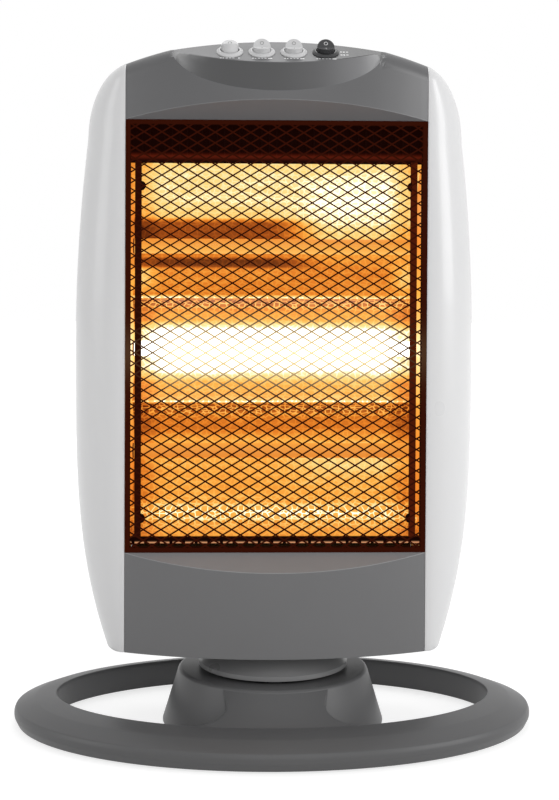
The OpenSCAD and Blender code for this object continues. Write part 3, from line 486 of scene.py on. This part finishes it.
# ---------- top fascia ----------
# The grey hood of the head: a crowned front rolled over into the arched top, cut back to a sloping
# deck for the switches over a crescent-shaped step. One ABS moulding on two rear screws.
fascia_grey = moulded("fascia_grey", (0.102, 0.102, 0.105), 0.36, depth=0.03)
fascia_tree = fascia_grey.node_tree
lens_half, lens_tip_z, lens_drop, window_high = 74.5 * mm, 486.6 * mm, 30.0 * mm, 437.7 * mm
deck_y, deck_z, deck_tilt, brow_slope = -56.0 * mm, 477.2 * mm, math.radians(31), math.radians(-30)
# Painted light: the facet along the fascia's lower edge, over the window, faces down and is painted lighter
# for the light thrown up onto it.
retone(fascia_grey, on_plane(fascia_tree, -front_seam, window_high, brow_slope), 1.55)

# Painted light and shade: the crescent's step is painted darkest on its left, with a painted highlight at
# its right end; the deck over it is painted pale, with painted shade on its right.
lens_axes = axes_of(fascia_tree)
lens_across = calc(fascia_tree, "DIVIDE", lens_axes["X"], lens_half)
lens_square = calc(fascia_tree, "MULTIPLY", lens_across, lens_across)
lens_arc = calc(fascia_tree, "SQRT", calc(fascia_tree, "SUBTRACT", 1.0, lens_square, use_clamp=True))
lens_low = calc(fascia_tree, "MULTIPLY_ADD", lens_arc, -lens_drop, lens_tip_z)
over_step = calc(fascia_tree, "GREATER_THAN", lens_axes["Z"], lens_low)
under_deck = calc(fascia_tree, "LESS_THAN", over_plane(fascia_tree, deck_y, deck_z, deck_tilt), -0.3 * mm)
in_step = calc(fascia_tree, "MULTIPLY", over_step, under_deck)
painted_step_shade = span(fascia_tree, lens_across, -0.1, 0.65, 1.0, 0.0, "SMOOTHSTEP")
retone(fascia_grey, calc(fascia_tree, "MULTIPLY", in_step, painted_step_shade), 0.53)
painted_step_highlight = span(fascia_tree, lens_across, 0.3, 0.85, 0.0, 1.0, "SMOOTHSTEP")
retone(fascia_grey, calc(fascia_tree, "MULTIPLY", in_step, painted_step_highlight), 1.7)
painted_deck_light_and_shade = span(fascia_tree, lens_across, 0.35, 0.75, 1.0, -1.3, "SMOOTHSTEP")
on_deck = calc(fascia_tree, "SUBTRACT", over_step, in_step)
retone(fascia_grey, calc(fascia_tree, "MULTIPLY", on_deck, painted_deck_light_and_shade), 1.32)
moulded_copy("fascia", "top_fascia", fascia_grey, "head", 0.2 * mm)

# ---------- rear cover, its screws and the cord gland ----------
# A flat dark cover with cooling slots behind the heating zone, six zinc-plated screws, and a soft
# black gland low on one side where the cord leaves.
dress(dark_plastic, "rear_cover")
dress(steel, "rear_screws")
dress(rubber, "cord_gland")

# ---------- grille ----------
# Two layers of slanted steel strands spot-welded where they cross, on a folded sheet frame. The
# oxide-black wire has a painted golden glint in front of the glowing tube, over a faint painted red glow.
tube_level, tube_pitch = 273.7 * mm, 75.0 * mm


def near_level(tree, height, level, reach):
    """A soft band: 1 at a height on the piece, falling to 0 about reach above and below it."""
    part = calc(tree, "DIVIDE", calc(tree, "SUBTRACT", height, level), reach)
    return calc(tree, "EXPONENT", calc(tree, "MULTIPLY", calc(tree, "MULTIPLY", part, part), -1.0))


grille_steel = moulded("grille_steel", (0.004, 0.0015, 0.001), 0.6, depth=0.01, grain_scale=2600.0)
wire_tree = grille_steel.node_tree
wire_axes = axes_of(wire_tree)
wire_side = calc(wire_tree, "ABSOLUTE", wire_axes["X"])
wire_span = span(wire_tree, wire_side, 70 * mm, 96 * mm, 1.0, 0.12, "SMOOTHSTEP")
wire_band = near_level(wire_tree, wire_axes["Z"], tube_level - 1 * mm, 21 * mm)
painted_wire_glint = calc(wire_tree, "POWER", calc(wire_tree, "MULTIPLY", wire_band, wire_span), 1.6)
set_surface(grille_steel, {
    "Emission Color": mix(wire_tree, painted_wire_glint, (0.030, 0.0040, 0.0012, 1), (1.0, 0.76, 0.38, 1)),
    "Emission Strength": 1.0, "Specular IOR Level": 0.0})
dress(grille_steel, "grille_rising_strands", "grille_falling_strands")

frame_steel = moulded("frame_steel", (0.005, 0.002, 0.0015), 0.6, depth=0.01)
# Painted light: a faint red glow is painted on the frame for the tube's light.
set_surface(frame_steel, {"Emission Color": (0.012, 0.002, 0.0006, 1), "Emission Strength": 1.0,
                          "Specular IOR Level": 0.02})
dress(frame_steel, "grille_frame")

# ---------- inner surround, clips and hood ----------
# A blackened sheet surround with a post near each side carries the reflector, four studs hold the
# grille's frame to it, and a ribbed hood closes it above. Painted light stands for the tube's light on the
# posts, on a line under the hood and in bright dashes along the foot, over a faint painted red glow.
post_x, post_half, post_middle, post_rise = 98.2 * mm, 2.4 * mm, 275 * mm, 134 * mm
hood_line, foot_line, dash_pitch = 412.5 * mm, 137.1 * mm, 9 * mm
surround_steel = moulded("surround_steel", (0.004, 0.0015, 0.001), 0.6, depth=0.01)
surround_tree = surround_steel.node_tree
surround_axes = axes_of(surround_tree)
surround_x, surround_z = surround_axes["X"], surround_axes["Z"]
hood_band = near_level(surround_tree, surround_z, hood_line, 2.0 * mm)
painted_glow_hood = mix(surround_tree, hood_band, (0.007, 0.0008, 0.0003, 1), (0.10, 0.010, 0.003, 1))
on_post = calc(surround_tree, "COMPARE", calc(surround_tree, "ABSOLUTE", surround_x), post_x, post_half)
under_hood = calc(surround_tree, "COMPARE", surround_z, post_middle, post_rise)
post_mask = calc(surround_tree, "MULTIPLY", on_post, under_hood)
painted_post_light = span(surround_tree, surround_x, -94 * mm, 94 * mm, 0.22, 0.9)
painted_glow_posts = mix(surround_tree, calc(surround_tree, "MULTIPLY", post_mask, painted_post_light), painted_glow_hood,
                (0.090, 0.011, 0.002, 1))
foot_wave = calc(surround_tree, "SINE", calc(surround_tree, "MULTIPLY", surround_x, 2 * math.pi / dash_pitch))
foot_dash = calc(surround_tree, "GREATER_THAN", foot_wave, -0.7)
foot_band = near_level(surround_tree, surround_z, foot_line, 0.7 * mm)
painted_glow_foot = mix(surround_tree, calc(surround_tree, "MULTIPLY", foot_band, foot_dash), painted_glow_posts,
                (0.80, 0.36, 0.17, 1))
set_surface(surround_steel, {"Emission Color": painted_glow_foot, "Emission Strength": 0.8,
                             "Specular IOR Level": 0.02})
dress(surround_steel, "inner_surround", "grille_clips", "hood")

# ---------- reflector ----------
# Bright aluminium sheet pressed into three troughs, one behind each tube, with slanted wings above
# and below, and embossed to scatter the heat. The middle tube's light on it and the tubes' reflections
# in it are painted light, in its emission over a dark orange tint.
reflector_half, sheet_t = 103.5 * mm, 0.8 * mm
trough_d = 26.0 * mm
trough_r = (tube_pitch ** 2 / 4 + trough_d ** 2) / (2 * trough_d)
lip_y = -9.0 * mm
trough_centre_y = lip_y + trough_d - trough_r
surround_y = -33.7 * mm
heat_low, heat_high = 139.7 * mm, 409.2 * mm

glow_colours = bpy.data.node_groups.new("glow_colours", "ShaderNodeTree")
glow_colours.interface.new_socket("Glow", in_out="INPUT", socket_type="NodeSocketFloat")
glow_colours.interface.new_socket("Color", in_out="OUTPUT", socket_type="NodeSocketColor")


def stops(ramp, rows):
    """Fills a colour ramp with (place, colour) rows, its two ends first."""
    ramp.interpolation = "LINEAR"
    while len(ramp.elements) > 2:
        ramp.elements.remove(ramp.elements[1])
    for i, (where, colour) in enumerate(rows):
        element = ramp.elements[i] if i < 2 else ramp.elements.new(where)
        element.position = where
        element.color = colour


glow_in = glow_colours.nodes.new("NodeGroupInput").outputs
glow_ramp = add(glow_colours, "ValToRGB", {"Fac": glow_in["Glow"]})
stops(glow_ramp.color_ramp, (
    (0.0, (0.004, 0.001, 0.0, 1)), (1.0, (1.0, 0.97, 0.88, 1)), (0.15, (0.06, 0.012, 0.002, 1)),
    (0.32, (0.30, 0.062, 0.006, 1)), (0.5, (0.72, 0.20, 0.018, 1)), (0.65, (0.95, 0.42, 0.06, 1)),
    (0.8, (1.0, 0.72, 0.24, 1)), (0.92, (1.0, 0.90, 0.60, 1))))
feed(glow_colours, glow_colours.nodes.new("NodeGroupOutput"), {"Color": glow_ramp.outputs["Color"]})


def glow_colour(tree, heat):
    """The colour of glowing sheet, quartz or wire at a level from 0 to 1: the lit tube's own glow, or painted
    light on the sheet, plates and unlit tubes.
    """
    colour = tree.nodes.new("ShaderNodeGroup")
    colour.node_tree = glow_colours
    feed(tree, colour, {"Glow": heat})
    return colour.outputs["Color"]


def grey(value):
    """A colour that carries one value."""
    return (value, value, value, 1)


def at_level(z):
    """The place on a ramp of a height in mm on the reflector."""
    return (z * mm - heat_low) / (heat_high - heat_low)


def drawn_noise(tree, place, stretch, detail, roughness):
    """Noise as fine along each axis as stretch says."""
    drawn = add(tree, "Mapping", {"Vector": place, "Scale": stretch}).outputs[0]
    return add(tree, "TexNoise", {"Vector": drawn, "Scale": 1.0, "Detail": detail,
                                  "Roughness": roughness}).outputs["Fac"]


reflector_sheet = moulded("reflector_sheet", (0.10, 0.035, 0.010), 0.35, depth=0.01, metallic=0.5)
glow_tree = reflector_sheet.node_tree
glow_place = add(glow_tree, "TexCoord").outputs["Object"]
glow_axes = axes_of(glow_tree)
glow_x, glow_z = glow_axes["X"], glow_axes["Z"]
ripple = drawn_noise(glow_tree, glow_place, (14, 14, 60), 3.0, 0.6)
wander = span(glow_tree, ripple, 0.3, 0.7, -0.3 * mm, 0.3 * mm)
rise_part = span(glow_tree, calc(glow_tree, "ADD", glow_z, wander), heat_low, heat_high, 0.0, 1.0)

# Rows of (height in mm, painted glow) for the left and the right of the sheet, its foot and its top first.
left_levels = ((139.7, 0.56), (409.2, 0.76), (149, 0.62), (152, 0.72), (159, 0.72), (163, 0.62), (178, 0.62),
               (196, 0.64), (205, 0.62), (214, 0.47), (226, 0.47), (228, 0.38), (233.8, 0.34), (235.4, 0.94),
               (237.0, 0.62), (248, 0.66), (258, 1.0), (286, 1.0), (294, 0.64), (304, 0.54),
               (309.9, 0.30), (311.5, 0.90), (313.0, 0.50), (332, 0.54), (334, 0.18),
               (338.5, 0.16), (341, 0.50), (353, 0.25), (366, 0.32), (370, 0.76), (384, 0.83), (400, 0.82))
right_levels = ((139.7, 0.56), (409.2, 0.76), (149, 0.62), (152, 0.73), (159, 0.72), (163, 0.63), (178, 0.68),
                (186, 0.78), (194, 0.78), (205, 0.63), (214, 0.48), (226, 0.47), (228, 0.38), (233.8, 0.36),
                (235.4, 0.93), (237.0, 0.64), (248, 0.68), (258, 1.0), (286, 1.0), (294, 0.64),
                (304, 0.56), (309.9, 0.36), (311.5, 0.88), (313.0, 0.52), (332, 0.50),
                (344, 0.60), (356, 0.76), (366, 0.86), (380, 0.91), (396, 0.88))
sides = []
for levels in (left_levels, right_levels):
    side_ramp = add(glow_tree, "ValToRGB", {"Fac": rise_part})
    stops(side_ramp.color_ramp, [(at_level(z), grey(h)) for z, h in levels])
    sides.append(side_ramp.outputs["Color"])
crossing = span(glow_tree, glow_x, -8 * mm, 44 * mm, 0.0, 1.0, "SMOOTHSTEP")
glow_sides = mix(glow_tree, crossing, sides[0], sides[1])

# Painted glints on the embossing, most in the folds between the troughs and near the foot, over faint
# streaks.
sparks = add(glow_tree, "TexVoronoi", {"Vector": glow_place, "Scale": 230.0, "Randomness": 0.7},
             feature="DISTANCE_TO_EDGE")
spark_line = span(glow_tree, sparks.outputs["Distance"], 0.02, 0.14, 1.0, -0.25)
upper_fold, middle_fold, lower_wing = [near_level(glow_tree, glow_z, z * mm, reach * mm)
                                       for z, reach in ((307, 4), (229.5, 5.5), (155, 7))]
spark_folds = calc(glow_tree, "ADD", upper_fold, middle_fold)
spark_zone = calc(glow_tree, "MULTIPLY_ADD", lower_wing, 0.6, spark_folds)
spark_part = span(glow_tree, spark_zone, 0.0, 1.0, 0.05, 0.34)
streaks = drawn_noise(glow_tree, glow_place, (22, 30, 190), 4.0, 0.65)
streak_gain = span(glow_tree, streaks, 0.3, 0.7, -0.035, 0.035)
glow_bits = calc(glow_tree, "ADD", calc(glow_tree, "MULTIPLY", spark_line, spark_part), streak_gain)

# Painted shade and light: towards its ends the sheet is painted darker, most at the left, where a thin
# strip is darker still, but brighter low in the upper trough.
end_part = span(glow_tree, calc(glow_tree, "ABSOLUTE", glow_x), 80 * mm, 98 * mm, 0.0, 1.0, "SMOOTHSTEP")
end_gain = span(glow_tree, near_level(glow_tree, glow_z, 326 * mm, 16 * mm), 0.0, 1.0, -0.14, 0.22)
glow_ends = calc(glow_tree, "MULTIPLY", end_part, end_gain)
glow_strip = span(glow_tree, glow_x, -99.5 * mm, -97.5 * mm, -0.1, 0.0)
glow_sum = calc(glow_tree, "ADD", calc(glow_tree, "ADD", glow_bits, glow_ends), glow_strip)
painted_sheet_glow = calc(glow_tree, "ADD", glow_sides, glow_sum, use_clamp=True)
set_surface(reflector_sheet, {
    "Emission Color": glow_colour(glow_tree, painted_sheet_glow),
    "Emission Strength": span(glow_tree, painted_sheet_glow, 0.85, 1.0, 1.0, 2.1), "Specular IOR Level": 0.2})

bm = bmesh.new()
rim_in, rim_h, wing_in, wing_h = 3 * mm, 2 * mm, 6 * mm, 14 * mm
path = [(surround_y + rim_in, heat_low + rim_h), (lip_y - wing_in, heat_low + wing_h)]
half_arc, half_steps = math.asin(tube_pitch / 2 / trough_r), 12
for tube in (-1, 0, 1):
    for step in range(2 * half_steps + 1):
        angle = half_arc * (step / half_steps - 1)
        path.append((trough_centre_y + trough_r * math.cos(angle),
                     tube_level + tube * tube_pitch + trough_r * math.sin(angle)))
path += [(lip_y - wing_in, heat_high - wing_h), (surround_y + rim_in, heat_high - rim_h)]
outline(bm, [(-reflector_half, y, z) for y, z in path], closed=False)
bmesh.ops.remove_doubles(bm, verts=bm.verts[:], dist=1e-6)
columns = 138
bmesh.ops.spin(bm, geom=bm.verts[:] + bm.edges[:], cent=(0, 0, 0), axis=(1, 0, 0), angle=0, steps=columns,
               dvec=(2 * reflector_half / columns, 0, 0))
for face in bm.faces:
    face.normal_update()
bmesh.ops.recalc_face_normals(bm, faces=bm.faces[:])
if sum(f.normal.y for f in bm.faces) > 0:
    bmesh.ops.reverse_faces(bm, faces=bm.faces[:])
boss_pitch, boss_h = 9.0 * mm, 0.35 * mm
for vert in bm.verts:
    chevron = math.cos(2 * math.pi * vert.co.x / boss_pitch) * math.cos(2 * math.pi * vert.co.z / boss_pitch)
    vert.co.y -= boss_h * max(0.0, chevron)
reflector = put("reflector_troughs", bm, reflector_sheet, "head", ["reflector"], crease=50)
thicken(reflector, "sheet", sheet_t)

# ---------- reflector end plates and heat shield ----------
# Sheet plates with a hole for each tube close the troughs, and a plain galvanised shield behind them
# keeps the heat off the rear cover.
end_glow = moulded("end_glow", (0.20, 0.10, 0.04), 0.4, depth=0.01, metallic=0.5)
end_tree = end_glow.node_tree
# Painted light: an orange glow is painted on the plates, strongest level with the middle tube.
painted_end_glow = span(end_tree, near_level(end_tree, axes_of(end_tree)["Z"], tube_level, 60 * mm),
                0.0, 1.0, 0.46, 0.75)
set_surface(end_glow, {"Emission Color": glow_colour(end_tree, painted_end_glow), "Emission Strength": 0.9})
dress(end_glow, "reflector_end_left", "reflector_end_right")
galvanised = moulded("galvanised", (0.52, 0.53, 0.53), 0.42, depth=0.02, spread=0.12, metallic=0.9)
dress(galvanised, "rear_heat_shield")

# ---------- quartz tubes and filaments ----------
# Three quartz tubes with drawn-in ends, each round a wound resistance wire. The middle one is lit,
# and the other two only catch its light, which is painted into their glow, brightest on their side towards
# it.
tube_r, tube_bore, tube_half = 5.5 * mm, 4.3 * mm, reflector_half + 8 * mm
neck_x, neck_r, mouth_r = tube_half - 4 * mm, tube_bore + 0.5 * mm, tube_bore - 0.6 * mm
wire_r, coil_r, coil_half, coil_turns = 0.35 * mm, 1.2 * mm, tube_half - 3 * mm, 92
coil_steps = coil_turns * 12


def lit(name, colour, lower, upper, level, strength, alpha):
    """Quartz or wire that glows from its lower to its upper side: the middle tube's own glow, or painted
    light on the others.
    """
    material = moulded(name, colour, 0.08, depth=0.004, grain_scale=700.0)
    tree = material.node_tree
    axes = axes_of(tree)
    heat = span(tree, axes["Z"], level - tube_r, level + tube_r, lower, upper)
    inside = calc(tree, "LESS_THAN", calc(tree, "ABSOLUTE", axes["X"]), reflector_half - 1 * mm)
    set_surface(material, {
        "Emission Color": glow_colour(tree, heat), "Alpha": alpha, "Specular IOR Level": 0.15,
        "Emission Strength": calc(tree, "MULTIPLY", inside, strength)})
    return material


for order, name, lower, upper, strength, alpha in (
        (-1, "lower", 0.52, 0.60, 0.9, 0.8), (0, "middle", 1.0, 1.0, 2.4, 0.9),
        (1, "upper", 0.71, 0.53, 0.9, 0.85)):
    tube_z = tube_level + order * tube_pitch
    bm = bmesh.new()
    outline(bm, [(x, 0, r) for x, r in (
        (-tube_half, mouth_r), (-tube_half, neck_r), (-neck_x, tube_r), (neck_x, tube_r),
        (tube_half, neck_r), (tube_half, mouth_r), (neck_x, tube_bore), (-neck_x, tube_bore))])
    spin_round(bm, (1, 0, 0), 40)
    bmesh.ops.translate(bm, verts=bm.verts[:], vec=(0, 0, tube_z))
    hot_or_lit_quartz = lit("quartz_" + name, (0.2, 0.1, 0.04), lower, upper, tube_z, strength, alpha)
    put("quartz_" + name, bm, hot_or_lit_quartz, "head", ["quartz_tube_" + name], crease=50)
    bm = bmesh.new()
    bmesh.ops.create_circle(bm, segments=6, radius=wire_r)
    bmesh.ops.rotate(bm, verts=bm.verts[:], cent=(0, 0, 0), matrix=Matrix.Rotation(math.pi / 2, 3, "X"))
    bmesh.ops.translate(bm, verts=bm.verts[:], vec=(-coil_half, 0, coil_r - wire_r))
    bmesh.ops.spin(bm, geom=bm.verts[:] + bm.edges[:], cent=(0, 0, 0), axis=(1, 0, 0),
                   angle=2 * math.pi * coil_turns, steps=coil_steps,
                   dvec=(2 * coil_half / coil_steps, 0, 0))
    bmesh.ops.holes_fill(bm, edges=[e for e in bm.edges if e.is_boundary], sides=8)
    bmesh.ops.recalc_face_normals(bm, faces=bm.faces[:])
    bmesh.ops.translate(bm, verts=bm.verts[:], vec=(0, 0, tube_z))
    coil_strength = 3.0 if name == "middle" else 0.7
    hot_or_lit_wire = lit("coil_" + name, (0.2, 0.12, 0.06), lower, upper, tube_z, coil_strength, 1.0)
    put("coil_" + name, bm, hot_or_lit_wire, "head", ["filament_" + name], crease=80)

# ---------- ceramic caps ----------
# White steatite caps, each with a terminal stud, one on each end of each tube. They hold the tubes
# behind the end plates.
ceramic = moulded("ceramic", (0.78, 0.76, 0.7), 0.5, depth=0.03)
dress(ceramic, "ceramic_caps")

# ---------- motor and electrical parts ----------
# The swing motor on the floor pan, the tilt switch, the thermal cut-out and the terminal block; all
# lie inside the closed head.
motor_metal = moulded("motor_metal", (0.5, 0.5, 0.48), 0.4, depth=0.02, metallic=0.9)
dress(motor_metal, "swing_motor")
dress(steel, "motor_screws")
dress(dark_plastic, "thermal_cutout", "tip_over_switch")
dress(nylon, "terminal_block")

# ---------- switch housings ----------
# Four round snap-in housings with a low bezel ring along the deck, three of pale grey plastic and
# one of dark.
deck_in = 16.0 * mm
switch_pitch = 22.5 * mm
switch_light = moulded("switch_light", (0.60, 0.60, 0.605), 0.32, depth=0.008, spread=0.02)
switch_dark = moulded("switch_dark", (0.03, 0.03, 0.032), 0.28, depth=0.008)
moulded_copy("bezels_light", "switch_housings", switch_light, "head", 0.25 * mm, crease=30)
moulded_copy("bezel_dark", "switch_housing_upper", switch_dark, "head", 0.25 * mm, crease=30)


def deck_frame(order):
    """Where a switch sits: its own upright frame on the sloping deck."""
    return (Matrix.Translation(((order - 1.5) * switch_pitch, deck_y, deck_z))
            @ Matrix.Rotation(deck_tilt, 4, "X") @ Matrix.Translation((0, deck_in, 0)))


# ---------- rockers ----------
# A round rocker with a shallow valley in each housing, on two moulded pins, with a stroke for on and
# a ring for off printed on its two faces.
pivot_h, valley_h = -0.5 * mm, 4.8 * mm
rocker_tilt, valley_slope = math.radians(12), math.atan2(3.0, 7.1)
print_y, ring_in, ring_out, ring_t = 3.1 * mm, 1.05 * mm, 1.35 * mm, 0.08 * mm
stroke_size = (0.35 * mm, 2.4 * mm, 0.16 * mm)
white_print = moulded("white_print", (0.95, 0.95, 0.95), 0.5, depth=0.005)
grey_print = moulded("grey_print", (0.16, 0.16, 0.16), 0.5, depth=0.005)
for order, name, lean in ((0, "swing", -1), (1, "lower", 1), (2, "middle", 1), (3, "upper", 1)):
    dark = name == "upper"
    body = "rocker_%s_body" % name
    moulded_copy("rocker_cap_" + name, "rocker_" + name, switch_dark if dark else switch_light, body,
                 0.6 * mm, crease=30)
    place = (deck_frame(order) @ Matrix.Translation((0, 0, pivot_h))
             @ Matrix.Rotation(lean * rocker_tilt, 4, "X") @ Matrix.Translation((0, 0, -pivot_h)))
    bm = bmesh.new()
    outline(bm, [(ring_in, 0, 0), (ring_out, 0, 0), (ring_out, 0, ring_t), (ring_in, 0, ring_t)])
    spin_round(bm, (0, 0, 1), 28)
    bmesh.ops.transform(bm, verts=bm.verts[:], matrix=place @ Matrix.Translation((0, 0, valley_h))
                        @ Matrix.Rotation(valley_slope, 4, "X") @ Matrix.Translation((0, print_y, 0)))
    stroke = bmesh.ops.create_cube(bm, size=1)["verts"]
    bmesh.ops.scale(bm, vec=stroke_size, verts=stroke)
    bmesh.ops.transform(bm, verts=stroke, matrix=place @ Matrix.Translation((0, 0, valley_h))
                        @ Matrix.Rotation(-valley_slope, 4, "X") @ Matrix.Translation((0, -print_y, 0)))
    put("rocker_print_" + name, bm, white_print if dark else grey_print, body)

# ---------- marks on the deck ----------
# Small white prints: a row in front of each switch, with an arrowhead at both ends for the swing, and
# two short rows beside the dark switch.
mark_t, row_in, beside_x = 0.1 * mm, -10.2 * mm, 13.0 * mm
tip_x, tip_r = 6.4 * mm, 1.0 * mm

# Each bar of a row: its middle, its width and its depth, in mm.
bars = ((-4.6, 1.2, 0.8), (-2.2, 1.5, 0.9), (0.2, 1.3, 0.8), (2.4, 1.6, 0.9), (5.6, 3.0, 1.2))
beside = ((-2.0, 1.5, 1.0), (0, 1.3, 1.4), (2.2, 1.6, 1.0))
bm = bmesh.new()
for order in range(4):
    rows = [(0, row_in, bars[:4] if order == 0 else bars)]
    if order == 3:
        rows += [(beside_x, along * mm, beside) for along in (1.6, -3.4)]
    for across, along, marks in rows:
        for middle, width, depth in marks:
            mark = bmesh.ops.create_cube(bm, size=1)["verts"]
            bmesh.ops.scale(bm, vec=(width * mm, depth * mm, mark_t), verts=mark)
            bmesh.ops.transform(bm, verts=mark, matrix=deck_frame(order) @ Matrix.Translation(
                (across + middle * mm, along, 0)))
    for end in (-1, 1) if order == 0 else (-1,):
        tip = bmesh.ops.create_circle(bm, cap_ends=True, segments=3, radius=tip_r)["verts"]
        bmesh.ops.transform(bm, verts=tip, matrix=deck_frame(order) @ Matrix.Translation(
            (end * tip_x, row_in, mark_t / 2)) @ Matrix.Rotation(-end * math.pi / 2, 4, "Z"))
put("deck_marks", bm, white_print, "head")
